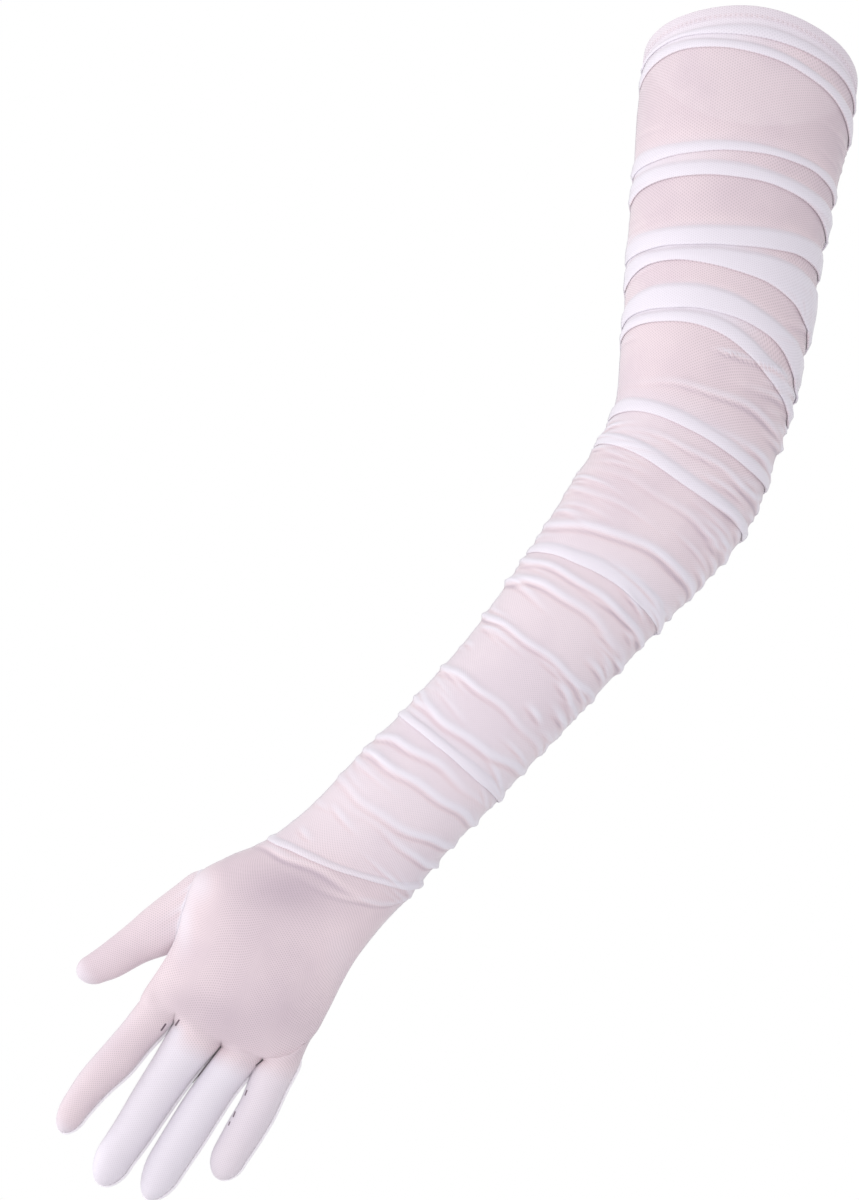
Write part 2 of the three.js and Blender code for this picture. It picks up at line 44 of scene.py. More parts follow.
# The middle line of the sleeve and hand, in millimetres, with the half width, the half depth
# and how far the cross direction leans below the horizontal, in degrees
gloveForm = {
    "columns": ("x", "y", "z", "halfWidth", "halfDepth", "lean"),
    "sections": (
        (4.0, 9.0, 28.5, 49.6, 45.5, 7.8),
        (-0.5, -1.0, -4.5, 49.0, 45.5, 7.8),
        (-4.5, -9.0, -30.5, 48.2, 45.0, 8.0),
        (-9.0, -17.0, -58.0, 45.6, 44.0, 8.2),
        (-13.5, -25.0, -86.0, 43.7, 43.0, 7.5),
        (-16.5, -33.0, -113.5, 42.3, 42.0, 8.0),
        (-21.5, -41.0, -141.0, 40.1, 41.0, 11.0),
        (-27.5, -48.5, -168.5, 37.9, 40.0, 18.0),
        (-38.5, -55.5, -194.0, 38.5, 39.0, 29.0),
        (-53.0, -61.0, -213.5, 37.1, 37.5, 37.0),
        (-69.0, -66.5, -233.5, 34.0, 35.0, 38.5),
        (-86.0, -71.5, -254.5, 31.6, 33.0, 39.5),
        (-103.0, -76.0, -275.5, 29.8, 31.0, 41.0),
        (-122.0, -80.0, -296.5, 28.8, 29.0, 42.5),
        (-141.0, -83.0, -317.0, 28.6, 27.0, 43.5),
        (-159.5, -85.0, -335.5, 28.7, 25.0, 43.5),
        (-179.0, -86.0, -357.0, 29.6, 22.5, 41.0),
        (-194.0, -87.0, -370.0, 32.0, 21.0, 34.5),
        (-206.0, -87.0, -378.0, 36.5, 19.5, 31.5),
        (-216.0, -86.5, -386.5, 40.0, 18.0, 29.0),
        (-221.5, -86.0, -398.5, 39.0, 17.0, 26.0),
        (-226.0, -85.5, -410.5, 37.8, 16.0, 22.5),
        (-232.0, -85.0, -422.0, 38.2, 15.0, 18.5),
        (-237.5, -84.5, -433.0, 38.6, 13.0, 16.0),
        (-239.5, -84.0, -441.0, 37.2, 8.0, 19.0),
    ),
    "places": (0, 45, 90, 135, 180, 270),    # degrees round: left, front left, front, ..., right, back
    "rim": (-4.8, -12.1, -16.1, -10.3, -1.5, 6.0),    # the slanted edge of the cuff at these places
    "hemWidth": 6.0,
    "net": 0.3,                              # thickness of the net
}

# Folds, as distances along the glove at the places above: upper edge, lower edge, how far the
# fold stands out, and how far round from the left it is joined to the next one by white net
folds = (
    ((3.0, -3.5, -7.5, -2.0, 6.5, 14.0), (5.0, -1.2, -1.7, 3.5, 11.3, 18.0),
     (0.6, 0.9, 1.2, 1.2, 1.0, 0.6), 2.2),
    ((6.0, 0.2, 1.9, 10.2, 16.3, 20.0), (14.1, 5.4, 6.5, 15.5, 27.0, 28.4),
     (1.0, 1.2, 1.2, 1.3, 1.3, 1.0), 0.0),
    ((49.4, 49.5, 48.1, 48.4, 50.1, 50.5), (57.9, 55.9, 52.6, 52.5, 56.1, 58.0),
     (1.2, 1.0, 0.9, 1.0, 1.2, 0.9), 0.9),
    ((59.6, 58.6, 57.9, 60.4, 61.6, 62.0), (70.6, 66.4, 64.8, 67.5, 75.2, 74.0),
     (1.4, 1.3, 1.2, 1.3, 1.4, 1.0), 0.1),
    ((88.7, 89.6, 87.8, 83.4, 81.8, 84.3), (98.6, 98.4, 97.6, 93.5, 93.9, 94.0),
     (1.3, 1.3, 1.3, 1.3, 1.3, 1.0), 3.5),
    ((99.5, 99.3, 98.6, 98.2, 101.4, 104.0), (111.6, 105.5, 108.2, 114.5, 126.0, 120.0),
     (1.4, 1.3, 1.2, 1.2, 1.4, 1.0), 0.2),
    ((120.9, 116.5, 118.3, 127.1, 131.8, 130.0), (130.0, 128.2, 129.4, 136.4, 149.5, 141.0),
     (1.4, 1.3, 1.3, 1.3, 1.4, 1.0), 3.5),
    ((131.0, 129.3, 131.1, 143.5, 151.5, 146.0), (137.5, 134.8, 138.1, 152.2, 159.9, 155.0),
     (1.4, 1.3, 1.2, 1.3, 1.4, 1.0), 0.1),
    ((172.8, 173.5, 178.6, 182.2, 180.3, 175.4), (182.9, 181.7, 184.9, 187.5, 186.2, 184.5),
     (1.3, 1.2, 1.2, 1.2, 1.3, 0.9), 0.4),
    ((194.6, 196.4, 201.1, 202.1, 201.0, 196.5), (202.5, 204.0, 207.3, 206.9, 205.8, 202.8),
     (1.3, 1.2, 1.2, 1.2, 1.3, 0.9), 0.0),
    ((262.0, 258.5, 253.1, 250.9, 252.9, 257.0), (267.0, 264.5, 260.2, 258.8, 258.3, 262.0),
     (1.0, 1.1, 1.2, 1.2, 1.2, 0.8), 0.0),
    ((358.5, 358.8, 357.8, 355.6, 354.3, 356.0), (362.8, 363.1, 362.4, 361.0, 360.0, 361.0),
     (1.1, 1.2, 1.2, 1.2, 1.2, 0.8), 0.0),
    ((434.5, 433.5, 428.5, 417.5, 409.0, 419.0), (437.9, 436.7, 431.7, 421.1, 413.2, 422.9),
     (0.9, 1.0, 1.1, 1.3, 1.3, 0.8), 0.0),
)

# Ridges: soft wrinkles, as the distance of the crest, how far it rises, and its half width
ridges = (
    ((165.0, 164.5, 164.7, 166.4, 169.0, 168.0), (0.1, 0.2, 0.9, 1.3, 1.3, 0.6), 2.2),
    ((191.8, 191.8, 192.7, 194.0, 194.0, 193.0), (0.0, 0.2, 0.9, 1.0, 0.4, 0.2), 1.8),
    ((219.0, 218.0, 217.0, 216.5, 216.0, 217.0), (0.2, 0.2, 0.4, 1.1, 1.4, 0.6), 2.2),
    ((252.5, 248.5, 240.2, 236.2, 236.8, 245.5), (1.0, 1.1, 1.2, 1.2, 1.2, 0.6), 2.8),
    ((272.2, 270.3, 267.8, 267.1, 267.7, 270.2), (1.3, 1.3, 1.2, 0.8, 0.6, 0.6), 2.2),
    ((284.2, 279.4, 277.1, 278.1, 280.6, 282.5), (1.3, 1.3, 1.0, 0.6, 0.8, 0.6), 2.6),
    ((302.5, 303.4, 302.7, 301.5, 300.0, 301.0), (1.2, 1.2, 1.1, 1.2, 1.2, 0.6), 2.1),
    ((333.5, 333.0, 332.0, 331.8, 332.0, 333.0), (1.2, 1.2, 0.8, 0.5, 0.9, 0.6), 2.2),
    ((351.8, 353.2, 351.8, 347.0, 343.5, 347.2), (0.9, 1.0, 1.1, 1.1, 1.2, 0.6), 2.5),
    ((376.1, 372.6, 368.2, 367.1, 366.0, 371.0), (1.1, 1.3, 0.9, 0.2, 0.1, 0.3), 2.6),
    ((384.0, 383.8, 380.2, 376.2, 375.0, 379.5), (1.1, 1.2, 1.1, 1.2, 1.3, 0.6), 2.6),
    ((400.0, 401.5, 400.2, 393.5, 389.0, 394.2), (0.6, 0.5, 0.8, 1.2, 1.3, 0.6), 2.5),
    ((409.0, 407.0, 404.5, 403.9, 400.6, 404.0), (0.0, 0.1, 0.3, 1.1, 1.4, 0.5), 2.3),
    ((441.5, 439.7, 435.8, 434.9, 433.0, 438.0), (0.3, 0.9, 0.6, 0.1, 0.0, 0.2), 2.4),
    ((446.0, 444.0, 442.0, 434.0, 420.0, 432.0), (0.0, 0.0, 0.2, 0.8, 0.9, 0.3), 2.4),
)


def smoothValue(knots, values, at):
    # smooth value between knots, straight on beyond the ends
    knots = np.asarray(knots, float)
    values = np.asarray(values, float)
    at = np.asarray(at, float)
    last = len(knots) - 1
    before = np.maximum(np.arange(last + 1) - 1, 0)
    after = np.minimum(np.arange(last + 1) + 1, last)
    slopes = (values[after] - values[before]) / (knots[after] - knots[before])
    i = np.clip(np.searchsorted(knots, at) - 1, 0, last - 1)
    span = knots[i + 1] - knots[i]
    t = (at - knots[i]) / span
    value = ((2 * t**3 - 3 * t**2 + 1) * values[i] + (t**3 - 2 * t**2 + t) * span * slopes[i]
             + (3 * t**2 - 2 * t**3) * values[i + 1] + (t**3 - t**2) * span * slopes[i + 1])
    value = np.where(t < 0, values[0] + slopes[0] * (at - knots[0]), value)
    return np.where(t > 1, values[last] + slopes[last] * (at - knots[last]), value)


def ease(t):
    t = np.clip(t, 0.0, 1.0)
    return t * t * (3 - 2 * t)


sectionTable = np.array(gloveForm["sections"])
steps = np.linalg.norm(np.diff(sectionTable[:, :3], axis=0), axis=1)
sectionAt = np.concatenate([[0.0], np.cumsum(steps)]) - steps[0]
palmEnd = sectionAt[-1]


def sectionValue(column, distance):
    return smoothValue(sectionAt, sectionTable[:, gloveForm["columns"].index(column)], distance)


def tubeFrame(distance):
    middle = np.stack([sectionValue(c, distance) for c in "xyz"], -1)
    ahead = np.stack([sectionValue(c, distance + 1) - sectionValue(c, distance - 1) for c in "xyz"], -1)
    ahead /= np.linalg.norm(ahead, axis=-1, keepdims=True)
    lean = np.radians(sectionValue("lean", distance))
    across = np.stack([np.cos(lean), np.zeros_like(lean), -np.sin(lean)], -1)
    front = np.cross(ahead, across)
    front /= np.linalg.norm(front, axis=-1, keepdims=True)
    front *= np.where(front[..., 1:2] > 0, -1.0, 1.0)
    return middle, across, front


def tubePoints(distance, degrees, outward):
    # points on the sleeve or hand: 0 degrees is the left side, 90 the front, 180 the right
    distance, degrees, outward = np.broadcast_arrays(distance, degrees, outward)
    middle, across, front = tubeFrame(distance)
    angle = np.radians(degrees)
    wide = sectionValue("halfWidth", distance) + outward
    deep = sectionValue("halfDepth", distance) + outward
    return (middle - across * (np.cos(angle) * wide)[..., None]
            + front * (np.sin(angle) * deep)[..., None])


def ringValue(values, degrees):
    places = gloveForm["places"]
    knots = (places[4] - 360, places[5] - 360, *places, places[0] + 360, places[1] + 360)
    wrapped = (values[4], values[5], *values, values[0], values[1])
    return smoothValue(knots, wrapped, np.asarray(degrees) % 360)


# Fine ripples: short wrinkles laid at random, in zones: how many, from where to where along the
# glove, the side they gather at with its spread in degrees, and how high they stand
rippleForm = {
    "seed": 11,                  # another number lays them another way
    "zones": (
        (34, 22.0, 150.0, 176.0, 24.0, (0.2, 0.5)),
        (16, 22.0, 150.0, 4.0, 16.0, (0.15, 0.3)),
        (110, 140.0, 330.0, 165.0, 26.0, (0.3, 1.0)),
        (60, 186.0, 345.0, 14.0, 24.0, (0.2, 0.6)),
        (22, 340.0, 425.0, 165.0, 24.0, (0.25, 0.6)),
        (20, 340.0, 430.0, 14.0, 24.0, (0.2, 0.5)),
        (60, 22.0, 430.0, 270.0, 50.0, (0.2, 0.7)),
    ),
    "width": (1.3, 2.1),         # half width of a ripple
    "span": (14.0, 52.0),        # its half length, in degrees round
    "slope": 0.09,               # how far a ripple may slant, in mm for each degree
}


def makeRipples():
    rng = np.random.default_rng(rippleForm["seed"])
    rows = []
    for count, start, end, side, spread, height in rippleForm["zones"]:
        for _ in range(count):
            rows.append((rng.uniform(start, end), rng.normal(side, spread) % 360,
                         rng.uniform(*rippleForm["span"]), rng.uniform(-1, 1) * rippleForm["slope"],
                         rng.uniform(*rippleForm["width"]), rng.uniform(*height)))
    return rows


ripples = makeRipples()


def creaseShape(offset):
    # height and tone across a wrinkle: a pale crest of gathered net, steeper below, with painted shade
    # below it
    soft = np.where(offset < 0, 1.0, 0.5)
    height = np.exp(-(offset / soft) ** 2)
    tone = np.exp(-((offset + 0.15) / 0.75) ** 2) - 1.3 * np.exp(-((offset - 1.0) / 0.42) ** 2)
    return height, tone


def wrinkles(distance, degrees):
    # height and tone of all ridges and ripples, the tone with painted shade below each crest
    height = np.zeros_like(distance)
    tone = np.zeros_like(distance)
    for crestRow, riseRow, half in ridges:
        rise = np.maximum(ringValue(riseRow, degrees), 0)
        crest = ringValue(crestRow, degrees) + 0.5 * np.sin(np.radians(degrees * 7 + crestRow[0]))
        high, pale = creaseShape((distance - crest) / half)
        height += rise * high
        tone += 0.6 * rise * pale
    for at, centre, span, slope, width, tall in ripples:
        turn = (degrees - centre + 180) % 360 - 180
        window = ease(1 - np.abs(turn) / span)
        line = at + slope * turn + 0.8 * np.sin(np.radians(turn * 3.1 + at))
        high, pale = creaseShape((distance - line) / width)
        height += tall * window * high
        tone += 0.95 * tall * window * pale
    return height, tone


# Rows of the sleeve, from the hem to the webs of the fingers
sleeveForm = {
    "plainRow": 1.05,            # spacing of plain rows
    "ramp": 2.6,                 # soft upper slope of a fold
    "outer": 1.0,                # how far the outer layer of a fold stands out, for a rise of 1
    "middle": 0.5,               # share of that for the layer that runs back under it
    "turn": 0.28,                # how round a fold's edge is
    "wobble": 0.35,              # unevenness of the folds' edges
    "open": (0.35, 0.85, 1.0, 1.0, 1.0, 0.8),      # how deep the folds are at each place
    "joined": (0.95, 0.7, 0.25, 0.0, 0.0, 0.4),    # where the net between two folds is white
    "parting": 445.0,            # from here the columns spread to the fingers
    "handTurn": 20.0,            # the last stretch, where the palm parts into fingers
    "crotch": 0.78,              # share of it that is still plain hand
    "edge": 22.0,                # near the sides the change is spread over more of it, in degrees
    "seam": 0.3,                 # how far the side seams stand out
    "seamReach": 2.0,            # and their half width, in degrees
    "fade": 25.0,                # the stretch over which the wrinkles fade at the hand
    "outerRows": 8,              # rows over a fold's outer layer
    "innerSteps": 4,             # and steps over each of the two layers under it
    "closingRows": 24,           # rows over the last stretch of the hand
    "foldTone": 0.95,            # how white a fold is
    "joinTone": 0.85,            # and the net between two folds at most
    "flatWidth": 142.8,          # breadth of a panel laid flat
    "paintedLightAlong": ((0, -0.26), (100, -0.16), (170, -0.04), (250, 0.2),    # painted light and shade on plain net by distance: darker near the cuff, paler along the forearm
                  (330, 0.34), (400, 0.34), (450, 0.0), (500, 0)),
    "rightShade": {"tone": 0.3, "side": 160.0, "spread": 28.0, "end": 190.0},    # painted shade on the right side, near the cuff
}


def wobble(seed, degrees, size):
    rng = np.random.default_rng(seed)
    value = np.zeros_like(degrees)
    for waves in (3, 5, 8, 13):
        swing = np.sin(np.radians(degrees * waves) + rng.uniform(0, 2 * math.pi))
        value += rng.uniform(-1, 1) * swing / math.sqrt(waves)
    return value * size


def sleeveRows(degrees, end):
    # distance, lift and tone of every row, with a value for each column
    rows = []
    form = sleeveForm

    def add(distance, lift, tone):
        rows.append((distance, lift + 0.0 * degrees, tone + 0.0 * degrees))

    opened = ringValue(form["open"], degrees)
    joined = np.clip(ringValue(form["joined"], degrees), 0, 1)
    previous = ringValue(gloveForm["rim"], degrees) + 0.4
    add(previous, 0.0, 0.5)
    before = 0.8
    for number, (upperRow, lowerRow, riseRow, after) in enumerate(folds):
        upper = ringValue(upperRow, degrees) + wobble(2 * number, degrees, form["wobble"])
        lower = ringValue(lowerRow, degrees) + wobble(2 * number + 1, degrees, form["wobble"])
        upper = np.maximum(upper, previous + 0.4)
        lower = np.maximum(lower, upper + 2.0)
        count = max(2, math.ceil(float(np.mean(upper - previous)) / form["plainRow"]))
        for k in range(1, count + 1):
            share = k / count
            white = np.minimum(before * (joined if number else 1.0), form["joinTone"])
            tone = np.maximum(white, 0.3 * share ** 6)
            add(previous + (upper - previous) * share, 0.0, tone)
        wide = lower - upper
        firm = np.clip(wide / 3.5, 0.75, 1.0) * (0.3 + 0.7 * opened)
        outer = form["outer"] * firm * ringValue(riseRow, degrees)
        outer = np.maximum(outer, 0.4 + 0.5 * opened)
        middle = outer * form["middle"]
        ramp = np.minimum(form["ramp"], 0.4 * wide)
        for t in (0.3, 0.65, 1.0):
            add(upper + ramp * t, outer * ease(t), 0.65 + 0.3 * t)
        for k in range(1, form["outerRows"] + 1):
            t = k / form["outerRows"]
            add(upper + ramp + (wide - ramp) * t, outer + 0.22 * np.sin(math.pi * t), form["foldTone"])
        edge = 0.5 + 0.5 * np.minimum(joined * after, 1)
        add(lower + form["turn"], outer * 0.86, edge)
        add(lower + form["turn"], middle + 0.12, edge)
        top = lower - (lower - upper - ramp * 0.8) * opened
        inner = form["innerSteps"]
        for k in range(inner + 1):
            add(lower + (top - lower) * k / inner, middle, 0.8)
        add(top - form["turn"] * opened, middle * 0.5, 0.6)
        onward = np.minimum(after * joined, form["joinTone"])
        for k in range(inner + 1):
            add(top + (lower - top) * k / inner, 0.0, np.maximum(0.5 * (1 - k / inner), onward))
        previous = lower
        before = after
    count = math.ceil(float(np.mean(end - previous)) / form["plainRow"])
    for k in range(1, count + 1):
        add(previous + (end - previous) * k / count, 0.0, 0.0)
    return tuple(np.array([row[i] for row in rows]) for i in range(3))


# Fingers: x and z of the webs beside and between them, then the middle line of the index, middle,
# ring and little finger as x, z, half width and lean, and the tips
fingerForm = {
    "webs": ((-276.3, -423.1), (-261.2, -432.7), (-240.3, -443.4), (-222.0, -449.6), (-203.7, -447.4)),
    "stations": (
        ((-278.2, -438.9, 8.2, 41), (-287.3, -449.6, 8.3, 41),
         (-297.6, -460.3, 7.4, 42), (-305.8, -471.0, 6.3, 40)),
        ((-261.0, -451.9, 9.9, 34), (-271.2, -467.2, 9.2, 35),
         (-280.4, -481.7, 8.6, 35), (-287.8, -492.4, 8.2, 33)),
        ((-240.0, -457.5, 8.7, 32), (-249.2, -471.0, 8.8, 33),
         (-255.9, -481.7, 8.8, 33), (-264.8, -495.6, 8.4, 33)),
        ((-218.3, -457.5, 8.6, 22), (-224.2, -471.0, 8.2, 28),
         (-230.5, -481.7, 8.1, 29), (-236.9, -492.4, 7.5, 26)),
    ),
    "tips": ((-312.1, -481.3), (-294.7, -504.9), (-273.7, -511.4), (-241.6, -502.7)),
    "fromY": -84.0,              # y of the fingers at their roots
    "toY": -80.0,                # and at their tips
    "depth": 0.92,               # half depth as a share of the half width
    "columns": 14,               # columns over each finger
    "row": 1.5,                  # spacing of rows
    "tones": (0.0, 0.85, 0.9, 0.6),    # how pale each finger is, painted lighter on the fingers that catch more light
    "paintedLeftLight": 0.5,             # painted light: how much paler its left side is, lit from the left
    "palmShare": 0.4,            # and how much of this shows on the palm side
    "rootReach": 12.0,           # the stretch over which a finger comes to its own tone
    "tipTone": 0.6,              # a closed tip is paler, over its last stretch
    "tipReach": 7.0,
    "tipsBelow": -460.0,         # the tips are closed below this height
}


capSteps = np.array([0, 12, 24, 36, 48, 59, 69, 78, 85, 90])    # degrees round a closed fingertip


def fingerRings(number, side):
    # half rings of one finger from its root to its tip: side 1 is the back of the hand, -1 the palm
    form = fingerForm
    (x0, z0), (x1, z1) = form["webs"][number], form["webs"][number + 1]
    rootHalf = 0.5 * math.hypot(x1 - x0, z1 - z0)
    rootLean = math.degrees(math.atan2(z0 - z1, x1 - x0))
    table = [((x0 + x1) / 2, (z0 + z1) / 2, rootHalf, rootLean), *form["stations"][number]]
    table = np.array(table)
    tip = np.array(form["tips"][number])
    along = np.concatenate([[0.0], np.cumsum(np.hypot(*np.diff(table[:, :2], axis=0).T))])
    cap = float(np.hypot(*(tip - table[-1, :2])))
    total = along[-1] + cap
    plain = np.arange(0.0, along[-1] - 0.6 * form["row"], form["row"])
    at = np.concatenate([plain, along[-1] + cap * np.sin(np.radians(capSteps))])
    x, z, half, lean = (smoothValue(along, table[:, i], np.minimum(at, along[-1])) for i in range(4))
    over = np.clip((at - along[-1]) / cap, 0, 1)
    x += over * (tip[0] - table[-1, 0])
    z += over * (tip[1] - table[-1, 1])
    half *= np.sqrt(np.maximum(1 - over**2, 0))
    y = form["fromY"] + (form["toY"] - form["fromY"]) * at / total
    deep = half * form["depth"]
    phi = np.radians(np.linspace(0, 180, form["columns"] + 1))
    lean = np.radians(lean)
    points = np.zeros((len(at), len(phi), 3))
    points[..., 0] = x[:, None] - np.cos(phi) * (half * np.cos(lean))[:, None]
    points[..., 2] = z[:, None] + np.cos(phi) * (half * np.sin(lean))[:, None]
    points[..., 1] = y[:, None] - side * np.sin(phi) * deep[:, None]
    return points, at


def nearestOn(points, spots, middle, ahead, across, front, wide, deep):
    # the spot of a tube's middle line beside each point, and the point's shares of width and depth there;
    # a little is added for the distance, so that of two such spots the nearer one is taken
    ahead = ahead / np.linalg.norm(ahead, axis=1, keepdims=True)
    away = np.abs(np.einsum("ijk,jk->ij", points[:, None, :] - middle[None], ahead))
    away += 0.05 * np.linalg.norm(points[:, None, :] - middle[None], axis=2)
    best = np.argmin(away, axis=1)
    offset = points - middle[best]
    u = np.einsum("ik,ik->i", offset, across[best]) / wide[best]
    v = np.einsum("ik,ik->i", offset, front[best]) / deep[best]
    return best, spots[best], u, v


def handPlaces(points):
    # distance along the hand, and shares of its half width and half depth, of points near it
    spots = np.arange(palmEnd - 90, palmEnd + 12, 0.25)
    middle, across, front = tubeFrame(spots)
    wide = sectionValue("halfWidth", spots)
    deep = sectionValue("halfDepth", spots)
    ahead = np.gradient(middle, axis=0)
    _, distance, u, v = nearestOn(points, spots, middle, ahead, across, front, wide, deep)
    return distance, u, v


# Set-in thumb: a tapered closed stall that rises out of the palm behind the left edge of the hand
thumbForm = {
    "stations": ((-233.0, -372.3, 11.0, 50), (-243.7, -378.2, 14.8, 56), (-254.4, -384.1, 13.4, 58),
                 (-267.8, -392.1, 11.6, 60), (-278.6, -398.4, 9.2, 60), (-290.7, -406.4, 7.9, 58),
                 (-296.9, -409.6, 6.9, 58)),
    "tip": (-304.5, -413.1),
    "fromY": -78.0,
    "toY": -70.0,
    "depth": 0.8,                # half depth as a share of the half width
    "root": 0.0,                 # where it starts, inside the hand
    "sink": 8.0,                 # how much further forward it starts than it goes on
    "rise": 18.0,                # the stretch over which it comes to its full depth
    "columns": 40,
    "rows": 44,
    "seam": 0.4,                 # how far the seam round its root stands out
    "pucker": 0.3,               # and the puckers beside the seam
    "tuck": 1.5,                 # how far it reaches under the surface of the hand
    "reach": 44.0,               # its root is looked for over this stretch of it
    "rowShare": 1.25,            # above 1, rows lie closer together near the root
    "flatColumn": 1.8,           # breadth of a column of net laid flat
    "seamColumn": 6,             # the column that the stitches follow
    "hole": {"right": -205.0, "bottom": -405.0, "top": -350.0,    # where the panels are cut for it
             "cut": 0.97, "core": 0.3, "wall": 0.98,    # shares of its half width and depth
             "smooth": 4},
}
thumbTable = np.array(thumbForm["stations"])
thumbAlong = np.concatenate([[0.0], np.cumsum(np.hypot(*np.diff(thumbTable[:, :2], axis=0).T))])
thumbCap = float(np.hypot(*(np.array(thumbForm["tip"]) - thumbTable[-1, :2])))


def thumbSection(at):
    # middle point, half width, half depth and lean of the thumb at a distance along it
    form = thumbForm
    held = np.minimum(at, thumbAlong[-1])
    x, z, half, lean = (smoothValue(thumbAlong, thumbTable[:, i], held) for i in range(4))
    over = np.clip((at - thumbAlong[-1]) / thumbCap, 0, 1)
    x = x + over * (form["tip"][0] - thumbTable[-1, 0])
    z = z + over * (form["tip"][1] - thumbTable[-1, 1])
    half = half * np.sqrt(np.maximum(1 - over**2, 0))
    total = thumbAlong[-1] + thumbCap
    y = form["fromY"] + (form["toY"] - form["fromY"]) * np.clip(at / total, 0, 1)
    y = y - form["sink"] * (1 - ease(at / form["rise"]))
    deep = half * form["depth"] * ease((at - form["root"]) / form["rise"])
    return np.stack([x, y, z], -1), half, deep, np.radians(lean)


def thumbPoints(at, phi, outward):
    middle, half, deep, lean = thumbSection(at)
    side = np.stack([np.cos(lean), np.zeros_like(lean), -np.sin(lean)], -1)
    points = middle - side * (np.cos(phi) * (half + outward))[..., None]
    points[..., 1] -= np.sin(phi) * (deep + outward)
    return points


def thumbPlaces(points):
    # distance along the thumb of points near its root, with the middle there and the share of its section
    spots = np.arange(thumbForm["root"] + 0.5, thumbForm["reach"], 0.25)
    middle, half, deep, lean = thumbSection(spots)
    side = np.stack([np.cos(lean), np.zeros_like(lean), -np.sin(lean)], -1)
    front = np.broadcast_to(np.array([0.0, -1.0, 0.0]), side.shape)
    ahead = np.cross(side, front)
    best, _, u, v = nearestOn(points, spots, middle, ahead, side, front, half, deep)
    return middle[best], np.hypot(u, v)


def cutThumbHole(bm):
    # open a panel where the thumb is set in, and draw the edge of the hole out to the thumb's wall
    hole = thumbForm["hole"]
    near = [vert for vert in bm.verts
            if vert.co.x < hole["right"] * mm and hole["bottom"] * mm < vert.co.z < hole["top"] * mm]
    places = np.array([vert.co for vert in near]) / mm
    middle, share = thumbPlaces(places)
    inside = {vert: (centre, part) for vert, centre, part in zip(near, middle, share) if part < hole["cut"]}
    hidden = [face for face in bm.faces if all(vert in inside for vert in face.verts)]
    edge = {vert for face in hidden for vert in face.verts
            if any(other not in inside for beside in vert.link_faces for other in beside.verts)}
    for vert in edge:
        centre, part = inside[vert]
        if part > hole["core"]:
            vert.co = Vector(centre * mm) + (vert.co - Vector(centre * mm)) * (hole["wall"] / part)
    bmesh.ops.delete(bm, geom=hidden, context="FACES")
    for _ in range(hole["smooth"]):
        smoothed = {}
        for vert in edge:
            beside = [e.other_vert(vert) for e in vert.link_edges if e.is_boundary]
            if len(beside) == 2 and all(other in edge for other in beside):
                smoothed[vert] = (beside[0].co + beside[1].co) / 4 + vert.co / 2
        for vert, place in smoothed.items():
            vert.co = place


def growStrip(bm, chain, points):
    # extrude a row of edges and put the new row on the given points
    edges = [bm.edges.get((a, b)) for a, b in zip(chain, chain[1:])]
    grown = bmesh.ops.extrude_edge_only(bm, edges=edges)
    fresh = {v for v in grown["geom"] if isinstance(v, bmesh.types.BMVert)}
    row = [next(e.other_vert(v) for e in v.link_edges if e.other_vert(v) in fresh) for v in chain]
    for vert, point in zip(row, points):
        vert.co = point
    return row


def newNet():
    # an empty mesh, ready for the net's flat map and the tone of each point
    bm = bmesh.new()
    bm.loops.layers.uv.new("net")
    # the tone of each point: gathered net, painted light and painted shade
    bm.verts.layers.float.new("gatherAndPaintedLight")
    return bm


def netGrid(bm, points, tones, across, along, flat):
    # a grid on rows of points, with the tone of each and its place on the net laid flat
    toneLayer = bm.verts.layers.float["gatherAndPaintedLight"]
    rows, columns = points.shape[:2]
    tones, across, along = (np.broadcast_to(value, (rows, columns)) for value in (tones, across, along))
    grid = bmesh.ops.create_grid(bm, x_segments=columns - 1, y_segments=rows - 1, size=1.0)
    for index, vert in enumerate(grid["verts"]):
        spot = divmod(index, columns)
        vert.co = points[spot] * mm
        vert[toneLayer] = float(np.clip(tones[spot], -1, 1))
        flat[vert] = (across[spot], along[spot])
    return grid["verts"]


def layFlat(bm, flat):
    uvLayer = bm.loops.layers.uv["net"]
    for face in bm.faces:
        for loop in face.loops:
            loop[uvLayer].uv = flat[loop.vert]


def sortParts(bm):
    # extruding leaves edges and faces in another order each time, so they are sorted by their points
    bm.verts.index_update()
    count = len(bm.verts)

    def order(part):
        spots = sorted(vert.index for vert in part.verts)
        return (spots[0] * count + spots[1]) * count + (spots[2] if len(spots) > 2 else 0)

    bm.edges.sort(key=order)
    bm.faces.sort(key=order)


def newPiece(name, bm, material):
    sortParts(bm)
    mesh = bpy.data.meshes.new(name)
    bm.to_mesh(mesh)
    bm.free()
    piece = bpy.data.objects.new(name, mesh)
    bpy.context.scene.collection.objects.link(piece)
    piece.data.materials.append(material)
    for face in piece.data.polygons:
        face.use_smooth = True
    return piece


# Places on the back of the hand where the net is gathered white, and where shade is painted darker over the
# knuckles and the top and right of the hand: x and z of the middle, the reach each way, and the tone
handPatches = (
    (-249.0, -371.0, 7.0, 8.0, 0.6), (-256.5, -386.0, 4.0, 13.0, 0.6), (-260.5, -436.0, 4.0, 4.0, 0.9),
    (-256.0, -424.0, 11.0, 8.0, -0.4), (-236.0, -431.0, 14.0, 10.0, -0.4),
    (-208.0, -430.0, 13.0, 20.0, -0.4), (-188.0, -402.0, 9.0, 22.0, 0.15),
    (-208.0, -372.0, 28.0, 14.0, -0.9), (-222.0, -398.0, 22.0, 16.0, -0.2),
)


def patchTone(points):
    tone = np.zeros(points.shape[:-1])
    for x, z, wide, high, value in handPatches:
        away = np.hypot((points[..., 0] - x) / wide, (points[..., 2] - z) / high)
        tone += value * np.exp(-away ** 2)
    return tone


